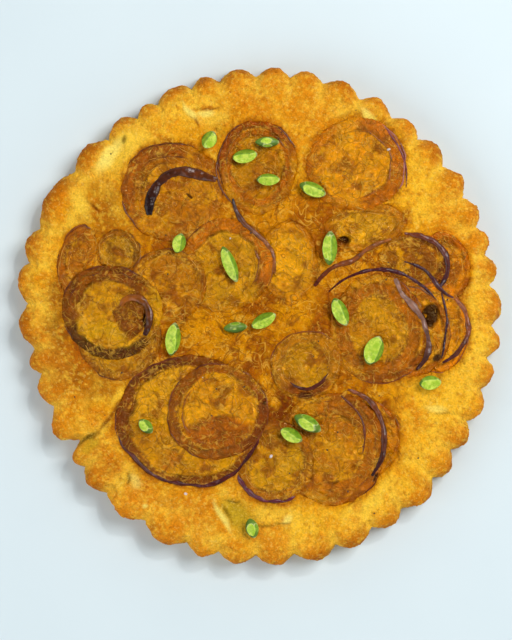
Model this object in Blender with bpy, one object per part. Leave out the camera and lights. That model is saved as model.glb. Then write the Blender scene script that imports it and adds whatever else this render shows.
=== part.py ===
# Onion tarte tatin, turned out of its fluted tin, with pistachio kernels on top.
# Metres, +Z up. The origin is in the middle of the flat underside.

import math

import bmesh
import bpy
from mathutils import Matrix, Vector, noise
from mathutils.bvhtree import BVHTree

MM = 0.001
GAP = 0.35 * MM
FLAT_ANGLE = math.radians(0.8)

# Crust: a disc with uneven flutes, as soft dough leaves its tin, read by eye from the photo.
# Creases between the flutes, as directions in degrees from +X
CREASES = (
    7.5, 15, 22, 30, 39, 48, 56, 65, 74.5, 82.5, 90.5, 99.5, 106.5, 115.5, 121.5, 130.5, 142, 158.5, 167, 177,
    188.5, 195, 204, 215, 221, 229.5, 241, 252.5, 260.5, 269.5, 278.5, 288.5, 298, 306.5, 317, 325, 333, 341.5,
    349.5, 357.5,
)
FLUTES = len(CREASES)
# The line through the flutes' crests: direction in degrees, and distance from the middle in mm
EDGE = (
    (0, 125.5),
    (45, 127.2),
    (80, 129.0),
    (105, 126.8),
    (125, 124.4),
    (165, 126.0),
    (200, 120.6),
    (235, 125.0),
    (256, 128.2),
    (283, 129.6),
    (310, 128.8),
    (335, 125.6),
    (360, 125.5),
)
FLUTE_DEPTH = 5.0 * MM
EVEN_FLUTE = 9
MOST_BULGE = 1.1
CRUST_TOP = 19.2 * MM
STEPS_PER_FLUTE = 6

# The side from the underside up: inset from the outline, height, share of the flutes
SIDE_ROWS = (
    (3.6, 0.0, 0.70),
    (0.0, 3.6, 1.00),
    (1.3, 14.5, 1.00),
    (3.8, 18.6, 0.85),
    (8.0, 20.3, 0.40),
)
# The top from the rim inwards: inset from the outline, and steps in one turn
TOP_ROWS = ((14.5, 120), (23.0, 120), (36.0, 60), (62.0, 60), (92.0, 20))

# Relief of the crust: lumps, and hollows and cracks by x, y, length, width, turn in degrees, depth
LUMP_SIZE = 13 * MM
LUMP_HEIGHT = 1.1 * MM
HOLLOWS = (
    (-72.5, 82.3, 12.0, 7.5, 30, 2.6),
    (-23.3, 104.3, 14.0, 6.5, 8, 2.4),
    (-7.9, -100.7, 22.0, 11.0, -25, 3.0),
    (-82.8, -55.6, 32.0, 4.0, 42, 3.6),
    (60.2, 96.1, 15.0, 5.0, -45, 2.2),
    (-62.3, -84.3, 9.0, 5.0, -60, 2.4),
)
NOTCH_ANGLE = math.radians(215.0)
NOTCH_SPREAD = math.radians(1.7)
NOTCH_DEPTH = 4.5 * MM

# Onion slices, the topmost first: name, x, y, half width, half length, turn, and where each band ends
SLICE_FLOOR = 14.3 * MM
SLICE_TOP = 19.7 * MM
SLICE_STEP = 0.07 * MM
SLICES = (
    ("onion_south_small", 24.3, -25.4, 18.4, 17.9, 0, (0.62,)),
    ("onion_southwest_inner", -20.8, -48.9, 25.1, 25.1, 0, (0.77,)),
    ("onion_southwest", -35.1, -53.6, 35.9, 34.3, 0, (0.86,)),
    ("onion_west", -74.6, 1.8, 25.6, 24.1, 0, (0.86, 0.70)),
    ("onion_east", 60.7, -7.4, 25.6, 27.2, 0, (0.86, 0.60)),
    ("onion_west_lower", -70.5, -11.0, 22.0, 21.5, 0, (0.80,)),
    ("onion_west_inner", -46.4, 14.6, 20.0, 19.5, 0, (0.84,)),
    ("onion_south", 8.5, -74.1, 19.5, 21.5, 12, (0.76,)),
    ("onion_southeast", 36.6, -67.4, 27.7, 29.7, 8, (0.84, 0.60)),
    ("onion_east_inner", 77.6, -8.4, 19.5, 23.6, 0, (0.84,)),
    ("onion_far_east", 88.9, -6.4, 17.9, 22.6, 0, (0.82,)),
    ("onion_north", -0.3, 75.6, 20.5, 23.6, 0, (0.80, 0.64)),
    ("onion_centre", -16.7, 25.4, 24.6, 23.6, 0, (0.72,)),
    ("onion_northeast_dark", 78.7, 27.4, 17.9, 14.3, -12, (0.78,)),
    ("onion_northwest", -43.8, 62.8, 25.6, 26.1, 0, (0.74,)),
    ("onion_west_pale", -71.5, 32.5, 11.6, 11.3, 0, (0.72,)),
    ("onion_west_outer", -92.5, 28.5, 9.4, 18.0, -16, (0.60,)),
    ("onion_southeast_lower", 52.0, -62.8, 20.5, 21.5, 0, (0.86,)),
    ("onion_northeast", 49.5, 76.6, 26.1, 23.6, 0, (0.72,)),
    ("onion_northeast_lower", 54.6, 44.8, 21.5, 12.3, 6, (0.70,)),
    ("onion_far_east_upper", 93.0, 23.3, 14.6, 19.5, 0, (0.80,)),
    ("onion_centre_yellow", 15.1, 27.4, 15.4, 21.5, 0, (0.78,)),
)
STEP_LENGTH = 6.2 * MM
FEWEST_STEPS = 16
BAND_DROP = 0.7 * MM
BAND_SLOPE = 0.06

# Loose layers that stand on edge in the slices: name, half width, points along the middle
STRIP_FLOOR = 18.6 * MM
STRIP_TOP = 21.5 * MM
STRIPS = (
    ("layer_dark_curl", 2.6, ((-55.6, 51.0), (-55.3, 57.7), (-52.5, 64.8), (-48.4, 69.4), (-43.3, 72.6),
                              (-36.1, 73.0), (-28.4, 71.0), (-21.3, 68.9))),
    ("layer_west_comma", 2.0, ((-70.0, 4.9), (-67.9, 7.9), (-63.3, 9.2), (-58.2, 6.9), (-55.6, 1.8),
                               (-55.6, -4.4), (-57.7, -10.0))),
    ("layer_centre_skin", 1.3, ((-13.1, 59.2), (-11.0, 52.5), (-6.9, 46.4), (-0.8, 41.3), (4.9, 35.6),
                                (7.9, 29.0), (7.9, 21.3))),
    ("layer_east_skin", 1.3, ((28.4, 15.1), (33.1, 20.8), (38.7, 24.9), (47.9, 27.9), (53.0, 32.0),
                              (59.7, 36.1), (67.4, 38.7))),
    ("layer_northeast_arc", 1.4, ((74.1, 41.8), (82.8, 40.2), (89.4, 37.2), (94.6, 31.5), (96.1, 24.3),
                                  (94.6, 18.2), (91.5, 14.1))),
    ("layer_east_pink", 1.7, ((69.4, 18.7), (72.5, 11.5), (77.6, 5.9), (82.8, -1.3), (85.3, -8.5),
                              (86.6, -15.6), (84.8, -21.8), (80.2, -27.9))),
    ("layer_far_east_skin", 1.3, ((99.7, 8.5), (104.3, 3.3), (106.3, -3.8), (106.6, -9.0), (103.8, -14.6),
                                  (99.7, -20.2), (93.5, -24.0))),
    ("layer_southeast_skin", 1.3, ((45.4, -37.7), (52.0, -40.2), (58.2, -45.4), (62.8, -54.6),
                                   (63.8, -63.8), (62.3, -73.0), (57.6, -81.3))),
)

# Gaps between the layers that go deep: x, y, half width, half length, depth
HOLES = ((87.9, 0.3, 3.1, 4.6, 3.0),)

# Pistachio kernels: x, y, length, width, turn in degrees
KERNELS = (
    (-24.9, 88.9, 9.6, 7.7, 60),
    (-6.9, 80.7, 12.8, 7.2, 10),
    (4.4, 87.9, 12.3, 5.4, 0),
    (4.9, 68.9, 11.8, 6.1, 0),
    (27.4, 63.8, 14.3, 7.2, -22),
    (36.1, 34.1, 17.4, 7.7, 88),
    (-40.2, 36.6, 10.2, 6.7, 75),
    (-14.6, 25.9, 19.5, 6.7, -68),
    (-43.3, -12.0, 16.9, 7.7, 83),
    (-11.7, -6.1, 12.0, 5.6, 5),
    (2.6, -2.6, 13.8, 7.0, 28),
    (41.3, 1.8, 15.4, 7.7, -65),
    (58.2, -17.7, 15.4, 9.7, 68),
    (86.9, -34.1, 11.3, 7.2, 5),
    (-57.1, -56.1, 9.2, 6.1, -45),
    (16.6, -60.6, 12.3, 6.8, -28),
    (24.9, -54.6, 15.4, 7.6, -30),
    (-3.3, -107.9, 10.2, 6.7, -75),
)
KERNEL_ROUNDNESS = 0.78
KERNEL_SIDES = 8
KERNEL_RINGS = (0.16, 0.38, 0.62, 0.84)


def edge_distance(angle):
    """Distance from the middle to the line through the flutes' crests."""
    degrees = math.degrees(angle) % 360
    for (start, low), (end, high) in zip(EDGE, EDGE[1:]):
        if degrees <= end:
            break
    share = (degrees - start) / (end - start)
    return (low + (high - low) * share * share * (3 - 2 * share)) * MM


def outline_point(count, inset, flutes):
    """A point a little inside the crust's edge, where so many flutes have gone by, with a share of them."""
    number = int(count)
    start = CREASES[number]
    width = (CREASES[(number + 1) % FLUTES] - start) % 360
    angle = math.radians(start + width * (count - number))
    bulge = min(MOST_BULGE, math.sqrt(width / EVEN_FLUTE))
    lobe = bulge * math.sin(math.pi * (count - number))
    mean_lobe = 2 / math.pi
    turn = math.remainder(angle - NOTCH_ANGLE, math.tau)
    notch = NOTCH_DEPTH * math.exp(-((turn / NOTCH_SPREAD) ** 2))
    depth = FLUTE_DEPTH * (1 - mean_lobe - flutes * (lobe - mean_lobe))
    radius = edge_distance(angle) - depth - notch - inset * MM
    return radius * math.cos(angle), radius * math.sin(angle)


def hollow_depth(x, y):
    """How far the hollows and cracks lower the crust at a point."""
    depth = 0.0
    for hx, hy, length, width, turn, deepest in HOLLOWS:
        dx = x - hx * MM
        dy = y - hy * MM
        c = math.cos(math.radians(turn))
        s = math.sin(math.radians(turn))
        u = (dx * c + dy * s) / (length * MM / 2)
        v = (dy * c - dx * s) / (width * MM / 2)
        depth += deepest * MM * math.exp(-(u * u + v * v))
    return depth


def crust_height(x, y):
    """Height of the crust's top at a point inside the rim."""
    lump = noise.noise(Vector((x, y, 0)) / LUMP_SIZE)
    return CRUST_TOP + LUMP_HEIGHT * lump - hollow_depth(x, y)


def material(name, colour, roughness):
    """A plain material in the part's colour."""
    made = bpy.data.materials.new(name)
    made.use_nodes = True
    shader = made.node_tree.nodes["Principled BSDF"]
    shader.inputs["Base Color"].default_value = (*colour, 1)
    shader.inputs["Roughness"].default_value = roughness
    shader.inputs["Metallic"].default_value = 0.0
    return made


def add_object(name, bm, look):
    """Turns a bmesh into a named object with a material."""
    bmesh.ops.recalc_face_normals(bm, faces=bm.faces)
    mesh = bpy.data.meshes.new(name)
    bm.to_mesh(mesh)
    bm.free()
    mesh.materials.append(look)
    made = bpy.data.objects.new(name, mesh)
    bpy.context.scene.collection.objects.link(made)
    return made


def join_rows(bm, outer, inner):
    """Fills between two closed rows. The outer row has as many points as the inner one, or a multiple."""
    share = len(outer) // len(inner)
    for i, corner in enumerate(inner):
        following = inner[(i + 1) % len(inner)]
        edge = [outer[(i * share + k) % len(outer)] for k in range(share + 1)]
        bm.faces.new((*edge, following, corner))


def crust_rows():
    """The crust's rows of points from the underside up and over to the middle."""
    steps = FLUTES * STEPS_PER_FLUTE
    for inset, height, flutes in SIDE_ROWS:
        row = []
        for i in range(steps):
            x, y = outline_point(FLUTES * i / steps, inset, flutes)
            lump = noise.noise(Vector((x, y, height * MM)) / LUMP_SIZE)
            row.append((x, y, height * MM * (1 + 0.04 * lump)))
        yield row
    for inset, steps in TOP_ROWS:
        row = []
        for i in range(steps):
            x, y = outline_point(FLUTES * i / steps, inset, 0.0)
            row.append((x, y, crust_height(x, y)))
        yield row


def make_crust(look):
    """The crust before the onions' pockets are cut."""
    bm = bmesh.new()
    rows = [[bm.verts.new(point) for point in row] for row in crust_rows()]
    bm.faces.new(rows[0])
    for lower, upper in zip(rows, rows[1:]):
        join_rows(bm, lower, upper)
    middle = bm.verts.new((0, 0, crust_height(0, 0)))
    last = rows[-1]
    for i, corner in enumerate(last):
        bm.faces.new((corner, last[(i + 1) % len(last)], middle))
    bmesh.ops.triangulate(bm, faces=bm.faces)
    return add_object("crust", bm, look)


def slice_outline(index, spec, margin=0.0):
    """The points of a slice's uneven outline, as far out as its margin."""
    _, x, y, half_width, half_length, turn, _ = spec
    around = math.pi * (half_width + half_length) * MM
    steps = max(FEWEST_STEPS, round(around / STEP_LENGTH))
    c = math.cos(math.radians(turn))
    s = math.sin(math.radians(turn))
    points = []
    for i in range(steps):
        angle = math.tau * i / steps
        wobble = 1 + 0.025 * math.sin(2 * angle + index) + 0.018 * math.sin(3 * angle + 2.3 * index)
        u = (half_width * MM * wobble + margin) * math.cos(angle)
        v = (half_length * MM * wobble + margin) * math.sin(angle)
        points.append(Vector((x * MM + u * c - v * s, y * MM + u * s + v * c)))
    return points


def prism(name, points, floor, top, look):
    """A closed upright prism on an outline, used as a cutter."""
    bm = bmesh.new()
    low = [bm.verts.new((p.x, p.y, floor)) for p in points]
    high = [bm.verts.new((p.x, p.y, top)) for p in points]
    bm.faces.new(list(reversed(low)))
    bm.faces.new(high)
    join_rows(bm, low, high)
    return as_cutter(add_object(name, bm, look))


def make_slice(index, spec, look):
    """One onion slice: a disc whose outer bands stand above its flesh."""
    name, x, y, _, _, _, bands = spec
    outline = slice_outline(index, spec)
    middle = Vector((x * MM, y * MM))
    top = SLICE_TOP + SLICE_STEP * (len(SLICES) - index)
    profile = [(1.0, SLICE_FLOOR), (1.0, top - 1.0 * MM), (0.96, top)]
    for number, end in enumerate(bands):
        profile.append((end, top - BAND_DROP * number))
        profile.append((end - BAND_SLOPE, top - BAND_DROP * (number + 1)))
    bm = bmesh.new()
    rows = []
    for share, height in profile:
        row = [middle.lerp(point, share) for point in outline]
        rows.append([bm.verts.new((p.x, p.y, height)) for p in row])
    bm.faces.new(list(reversed(rows[0])))
    for lower, upper in zip(rows, rows[1:]):
        join_rows(bm, lower, upper)
    bm.faces.new(rows[-1])
    return add_object(name, bm, look)


def smooth_path(points, pieces):
    """More points on a smooth curve through the given ones."""
    ends = [points[0], *points, points[-1]]
    path = []
    for before, start, end, after in zip(ends, ends[1:], ends[2:], ends[3:]):
        for k in range(pieces):
            t = k / pieces
            path.append(
                0.5 * (2 * start + (end - before) * t
                       + (2 * before - 5 * start + 4 * end - after) * t * t
                       + (3 * start - before - 3 * end + after) * t * t * t)
            )
    path.append(points[-1])
    return path


def strip_sides(spec, margin):
    """The left and right edges of a loose layer seen from above, nearer together at its ends."""
    _, half_width, points = spec
    path = smooth_path([Vector(p) * MM for p in points], 2)
    last = len(path) - 1
    left = []
    right = []
    for i, point in enumerate(path):
        along = (path[min(i + 1, last)] - path[max(i - 1, 0)]).normalized()
        width = half_width * MM * (0.45 + 0.55 * math.sin(math.pi * i / last) ** 0.5) + margin
        across = Vector((-along.y, along.x)) * width
        end = along * margin * ((i == last) - (i == 0))
        left.append(point + across + end)
        right.append(point - across + end)
    return left, right


def loft_strip(name, foot, ridge, floor, top, look):
    """A closed bar through four-sided sections, from its foot's edges up to its ridge's."""
    bm = bmesh.new()
    sections = []
    for foot_left, foot_right, ridge_left, ridge_right in zip(*foot, *ridge):
        corners = (
            (foot_left, floor),
            (foot_right, floor),
            (ridge_right, top),
            (ridge_left, top),
        )
        sections.append([bm.verts.new((p.x, p.y, height)) for p, height in corners])
    for first, second in zip(sections, sections[1:]):
        join_rows(bm, first, second)
    bm.faces.new(list(reversed(sections[0])))
    bm.faces.new(sections[-1])
    bmesh.ops.triangulate(bm, faces=bm.faces)
    return add_object(name, bm, look)


def make_strip(spec, look):
    """A loose layer of onion on edge, its top edge narrower than its foot."""
    foot = strip_sides(spec, 0.0)
    ridge = strip_sides(spec, -0.5 * MM)
    return loft_strip(spec[0], foot, ridge, STRIP_FLOOR, STRIP_TOP, look)


def oval(x, y, half_width, half_length):
    """The points of an upright oval."""
    steps = [math.tau * i / FEWEST_STEPS for i in range(FEWEST_STEPS)]
    return [
        Vector((x + half_width * math.cos(t), y + half_length * math.sin(t))) * MM
        for t in steps
    ]


def as_cutter(obj):
    """Marks an object as a cutter, which only shows as wires."""
    obj.hide_render = True
    obj.display_type = "WIRE"
    return obj


def make_kernel(index, spec, look):
    """A pistachio kernel: a pointed, slightly flattened grain that lies on what is below it."""
    _, _, length, width, _ = spec
    bm = bmesh.new()
    tips = [bm.verts.new((end * length * MM / 2, 0, 0)) for end in (-1, 1)]
    rings = []
    for share in KERNEL_RINGS:
        reach = math.sin(math.pi * share) ** KERNEL_ROUNDNESS
        ring = []
        for k in range(KERNEL_SIDES):
            angle = math.tau * k / KERNEL_SIDES
            y = reach * width * MM / 2 * math.cos(angle)
            z = reach * width * MM / 2 * 0.85 * math.sin(angle)
            ring.append(bm.verts.new(((share - 0.5) * length * MM, y, z)))
        rings.append(ring)
    for first, second in zip(rings, rings[1:]):
        join_rows(bm, first, second)
    for tip, ring in ((tips[0], rings[0]), (tips[1], rings[-1])):
        for k, corner in enumerate(ring):
            bm.faces.new((tip, corner, ring[(k + 1) % KERNEL_SIDES]))
    return add_object(f"pistachio_{index + 1:02d}", bm, look)


def applied(obj):
    """Makes an object's modifiers final, and keeps only its largest piece."""
    graph = bpy.context.evaluated_depsgraph_get()
    mesh = bpy.data.meshes.new_from_object(obj.evaluated_get(graph))
    obj.modifiers.clear()
    obj.data = mesh
    bm = bmesh.new()
    bm.from_mesh(mesh)
    bmesh.ops.remove_doubles(bm, verts=bm.verts, dist=0.01 * MM)
    islands = []
    left = set(bm.faces)
    while left:
        found = {left.pop()}
        edge_of = list(found)
        while edge_of:
            for edge in edge_of.pop().edges:
                fresh = [face for face in edge.link_faces if face in left]
                left.difference_update(fresh)
                found.update(fresh)
                edge_of.extend(fresh)
        islands.append(found)
    largest = max(islands, key=lambda faces: sum(face.calc_area() for face in faces))
    scraps = [face for face in bm.faces if face not in largest]
    bmesh.ops.delete(bm, geom=scraps, context="FACES")
    bmesh.ops.dissolve_limit(bm, angle_limit=FLAT_ANGLE, verts=bm.verts, edges=bm.edges)
    bmesh.ops.triangulate(bm, faces=bm.faces)
    bm.to_mesh(mesh)
    bm.free()


def cut(obj, cutters):
    """Takes the cutters' shapes out of an object."""
    for cutter in cutters:
        modifier = obj.modifiers.new(cutter.name, "BOOLEAN")
        modifier.operation = "DIFFERENCE"
        modifier.solver = "EXACT"
        modifier.object = cutter
    bpy.context.view_layer.update()
    applied(obj)


def lay(kernel, spec, ground):
    """Turns a kernel and lowers it until it nearly touches what is below."""
    x, y, length, width, turn = spec
    kernel.data.transform(Matrix.Rotation(math.radians(turn), 4, "Z"))
    kernel.data.transform(Matrix.Translation((x * MM, y * MM, 0)))
    clearance = math.inf
    high = 100 * MM
    for vertex in kernel.data.vertices:
        start = Vector((vertex.co.x, vertex.co.y, high))
        hit = ground.ray_cast(start, Vector((0, 0, -1)))[0]
        if hit is not None:
            clearance = min(clearance, vertex.co.z - hit.z)
    return clearance


def ground_tree(objects):
    """One tree of all the surfaces that kernels can lie on."""
    points = []
    faces = []
    for obj in objects:
        start = len(points)
        points.extend(vertex.co.copy() for vertex in obj.data.vertices)
        faces.extend([start + i for i in face.vertices] for face in obj.data.polygons)
    return BVHTree.FromPolygons(points, faces)


def settle_kernels(kernels, ground):
    """Lays every kernel on the tart with the usual gap below it."""
    for kernel, spec in zip(kernels, KERNELS):
        clearance = lay(kernel, spec, ground)
        kernel.data.transform(Matrix.Translation((0, 0, GAP - clearance)))


def centre_outline(objects, crust):
    """Moves everything so that the origin is under the middle of the crust's outline."""
    xs = [vertex.co.x for vertex in crust.data.vertices]
    ys = [vertex.co.y for vertex in crust.data.vertices]
    middle = Vector(((min(xs) + max(xs)) / 2, (min(ys) + max(ys)) / 2, 0))
    for obj in objects:
        obj.data.transform(Matrix.Translation(-middle))


def main():
    for old in list(bpy.data.objects):
        bpy.data.objects.remove(old)
    baked = material("baked_crust", (0.75, 0.42, 0.06), 0.62)
    onion = material("caramelised_onion", (0.42, 0.19, 0.02), 0.32)
    skin = material("dark_onion_layer", (0.13, 0.035, 0.015), 0.3)
    nut = material("pistachio", (0.32, 0.46, 0.06), 0.5)

    crust = make_crust(baked)
    slices = [make_slice(i, spec, onion) for i, spec in enumerate(SLICES)]
    strips = [make_strip(spec, skin) for spec in STRIPS]
    kernels = [make_kernel(i, spec, nut) for i, spec in enumerate(KERNELS)]

    above = 30 * MM
    slice_rooms = [
        prism(f"room_{spec[0]}", slice_outline(i, spec, GAP), SLICE_FLOOR - GAP, above, skin)
        for i, spec in enumerate(SLICES)
    ]
    strip_rooms = []
    for spec in STRIPS:
        sides = strip_sides(spec, GAP)
        room = loft_strip(f"room_{spec[0]}", sides, sides, STRIP_FLOOR - GAP, above, skin)
        strip_rooms.append(as_cutter(room))
    holes = [
        prism(f"hole_{i}", oval(*hole[:4]), SLICE_TOP - hole[4] * MM, above, skin)
        for i, hole in enumerate(HOLES)
    ]
    for i, piece in enumerate(slices):
        cut(piece, slice_rooms[:i] + strip_rooms + holes)
    cut(crust, slice_rooms + strip_rooms)
    for cutter in slice_rooms + strip_rooms + holes:
        bpy.data.objects.remove(cutter)

    settle_kernels(kernels, ground_tree([crust, *slices, *strips]))
    centre_outline([crust, *slices, *strips, *kernels], crust)


main()
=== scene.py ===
import math

import bpy
import numpy as np
from mathutils import Matrix, Vector
from mathutils.bvhtree import BVHTree


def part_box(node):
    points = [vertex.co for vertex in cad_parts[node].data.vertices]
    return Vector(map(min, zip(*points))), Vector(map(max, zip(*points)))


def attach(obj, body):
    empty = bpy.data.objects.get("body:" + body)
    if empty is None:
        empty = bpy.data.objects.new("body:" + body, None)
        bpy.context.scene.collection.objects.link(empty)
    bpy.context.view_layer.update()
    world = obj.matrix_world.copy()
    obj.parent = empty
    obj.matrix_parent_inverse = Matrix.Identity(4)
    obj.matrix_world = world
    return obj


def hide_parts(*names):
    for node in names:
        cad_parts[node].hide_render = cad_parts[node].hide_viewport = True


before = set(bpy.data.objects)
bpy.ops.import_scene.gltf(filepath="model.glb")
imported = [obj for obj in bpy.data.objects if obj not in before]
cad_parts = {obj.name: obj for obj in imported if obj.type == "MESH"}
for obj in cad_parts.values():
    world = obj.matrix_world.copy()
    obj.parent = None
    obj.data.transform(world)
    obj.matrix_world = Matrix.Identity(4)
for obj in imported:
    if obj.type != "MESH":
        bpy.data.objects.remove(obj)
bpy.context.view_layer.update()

# Onion tarte tatin, whole. Tables are in millimetres and degrees, meshes in metres.
# Angles run anticlockwise from +X. The middle of the tables is a little beside the frame's middle.
metre = 1000
fullTurn = 2 * math.pi


def linear(hexColour):  # sRGB hex to linear
    code = hexColour.lstrip("#")
    parts = np.array([int(code[i:i + 2], 16) / 255 for i in (0, 2, 4)])
    return np.where(parts <= 0.04045, parts / 12.92, ((parts + 0.055) / 1.055) ** 2.4)


def rgba(hexColour):
    return (*linear(hexColour), 1.0)


def ease(value):
    t = np.clip(value, 0, 1)
    return t * t * (3 - 2 * t)


def mix(first, second, share):
    return first + (second - first) * np.asarray(share)[:, None]


def lattice(ix, iy, iz, seed):
    n = ix * 374761393 + iy * 668265263 + iz * 1440662683 + seed * 974634777
    n = (n ^ (n >> 13)) * 1274126177
    n = n ^ (n >> 16)
    return (n & 0xFFFFFF) / 0xFFFFFF


def softNoise(x, y, z, size, seed):  # smooth noise from -1 to 1 with blotches of this size
    grid = [np.asarray(v, float) / size for v in np.broadcast_arrays(x, y, z)]
    low = [np.floor(v).astype(np.int64) for v in grid]
    part = [ease(v - w) for v, w in zip(grid, low)]
    total = 0
    for dx in (0, 1):
        for dy in (0, 1):
            for dz in (0, 1):
                weight = 1
                for step, share in zip((dx, dy, dz), part):
                    weight = weight * (share if step else 1 - share)
                total = total + weight * lattice(low[0] + dx, low[1] + dy, low[2] + dz, seed)
    return total * 2 - 1


def cloud(x, y, size, seed):  # uneven blotches from -1 to 1: soft noise of three sizes, each turned
    total = 0
    for k, share in enumerate((0.85, 0.40, 0.20)):
        turn = 0.6 + 0.9 * k
        u, v = x * math.cos(turn) - y * math.sin(turn), x * math.sin(turn) + y * math.cos(turn)
        total = total + share * softNoise(u, v, 0, size / 2 ** k, seed + 17 * k)
    return total


def grains(x, y, size, seed):  # domed cells: height 0 to 1, and one random number for each cell
    gx, gy = x / size, y / size
    ix, iy = np.floor(gx).astype(np.int64), np.floor(gy).astype(np.int64)
    nearest = np.full(len(x), 9.0)
    own = np.zeros(len(x))
    for dx in (-1, 0, 1):
        for dy in (-1, 0, 1):
            cx, cy = ix + dx, iy + dy
            px = cx + lattice(cx, cy, 0 * cx, seed)
            py = cy + lattice(cx, cy, 0 * cx + 1, seed)
            away = np.hypot(gx - px, gy - py)
            closer = away < nearest
            nearest = np.where(closer, away, nearest)
            own = np.where(closer, lattice(cx, cy, 0 * cx + 2, seed), own)
    return np.clip(1 - nearest / 0.9, 0, 1) ** 0.6, own


def window(angle, start, end, soft=16):  # 1 between two angles and 0 outside, with soft ends
    span = (end - start) % 360
    if span == 0:
        return np.ones(len(angle))
    past = (np.degrees(angle) - start) % 360
    return ease(past / soft) * ease((span - past) / soft)


def bump(distance, width):  # 1 on a line, fading to 0 over about its width
    return np.exp(-((distance / (width / 2)) ** 2))


def onCurve(before, start, end, after, t):  # a smooth curve through four points, between the middle two
    return 0.5 * (2 * start + (end - before) * t + (2 * before - 5 * start + 4 * end - after) * t * t
                  + (3 * start - before - 3 * end + after) * t ** 3)


def turnedTo(x, y, at, turn):  # distances along and across something that lies at a place, turned
    c, s = math.cos(math.radians(turn)), math.sin(math.radians(turn))
    dx, dy = x - at[0], y - at[1]
    return dx * c + dy * s, dy * c - dx * s


def addObject(name, data):
    obj = bpy.data.objects.new(name, data)
    bpy.context.scene.collection.objects.link(obj)
    return obj


def addNode(tree, kind, settings=None, links=None):  # "=" marks a socket's own value
    node = tree.nodes.new(kind)
    for key, value in (settings or {}).items():
        if key.startswith("="):
            name = key[1:]
            node.inputs[int(name) if name.isdigit() else name].default_value = value
        else:
            setattr(node, key, value)
    for key, source in (links or {}).items():
        tree.links.new(source, node.inputs[key])
    return node


def newMaterial(name):
    material = bpy.data.materials.new(name)
    material.use_nodes = True
    tree = material.node_tree
    return material, tree, tree.nodes["Principled BSDF"]


def newTree(name, sockets):
    tree = bpy.data.node_groups.new(name, "GeometryNodeTree")
    tree.interface.new_socket("Geometry", in_out="INPUT", socket_type="NodeSocketGeometry")
    for label, kind, value in sockets:
        socket = tree.interface.new_socket(label, in_out="INPUT", socket_type=kind)
        if value is not None:
            socket.default_value = value
    tree.interface.new_socket("Geometry", in_out="OUTPUT", socket_type="NodeSocketGeometry")
    return tree, tree.nodes.new("NodeGroupInput"), tree.nodes.new("NodeGroupOutput")


def runTree(obj, tree, values):  # applies a tree to an object and keeps the result as a plain mesh
    modifier = obj.modifiers.new(tree.name, "NODES")
    modifier.node_group = tree
    for item in tree.interface.items_tree:
        if item.in_out == "INPUT" and item.name in values:
            modifier[item.identifier] = values[item.name]
    graph = bpy.context.evaluated_depsgraph_get()
    mesh = bpy.data.meshes.new_from_object(obj.evaluated_get(graph), depsgraph=graph)
    name = obj.name
    bpy.data.objects.remove(obj)
    return addObject(name, mesh)


def ringsMesh(name, rings):  # closed: rings from the middle of the underside, out, up and back to the middle
    points = np.concatenate(rings)
    starts = np.cumsum([0] + [len(ring) for ring in rings])
    faces = []
    for (first, second), low, high in zip(zip(rings, rings[1:]), starts, starts[1:]):
        n, m = len(first), len(second)
        if n >= m:  # the inner ring may have fewer points
            k = n // m
            i = np.arange(m)
            edge = [low + (i * k + s) % n for s in range(k + 1)]
            faces += np.stack([*edge, high + (i + 1) % m, high + i], 1).tolist()
        else:
            k = m // n
            i = np.arange(n)
            edge = [high + (i * k + s) % m for s in range(k, -1, -1)]
            faces += np.stack([low + i, low + (i + 1) % n, *edge], 1).tolist()
    points = np.concatenate([points, rings[0].mean(0)[None], rings[-1].mean(0)[None]])
    n, m, last = len(rings[0]), len(rings[-1]), starts[-2]
    i = np.arange(n)
    faces += np.stack([0 * i + starts[-1], (i + 1) % n, i], 1).tolist()
    i = np.arange(m)
    faces += np.stack([last + i, last + (i + 1) % m, 0 * i + starts[-1] + 1], 1).tolist()
    mesh = bpy.data.meshes.new(name)
    mesh.from_pydata(points / metre, [], faces)
    mesh.shade_smooth()
    return addObject(name, mesh)


def corners(mesh):  # a mesh's points in millimetres, back in the tables' own middle
    co = np.zeros(len(mesh.vertices) * 3, np.float32)
    mesh.vertices.foreach_get("co", co)
    co = co.reshape(-1, 3).astype(float) * metre
    return co[:, 0] + middle[0], co[:, 1] + middle[1], co[:, 2]


def slant(mesh):  # how far each point's face looks up, and its sideways part
    normal = np.zeros(len(mesh.vertices) * 3, np.float32)
    mesh.vertices.foreach_get("normal", normal)
    return normal.reshape(-1, 3)


def setColour(mesh, name, colour):
    layer = mesh.attributes.get(name) or mesh.attributes.new(name, "FLOAT_COLOR", "POINT")
    full = np.ones((len(mesh.vertices), 4), np.float32)
    full[:, :3] = np.clip(colour, 0, 1)
    layer.data.foreach_set("color", full.ravel())


def setShare(mesh, name, value):
    layer = mesh.attributes.get(name) or mesh.attributes.new(name, "FLOAT", "POINT")
    layer.data.foreach_set("value", np.asarray(value, np.float32))


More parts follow.
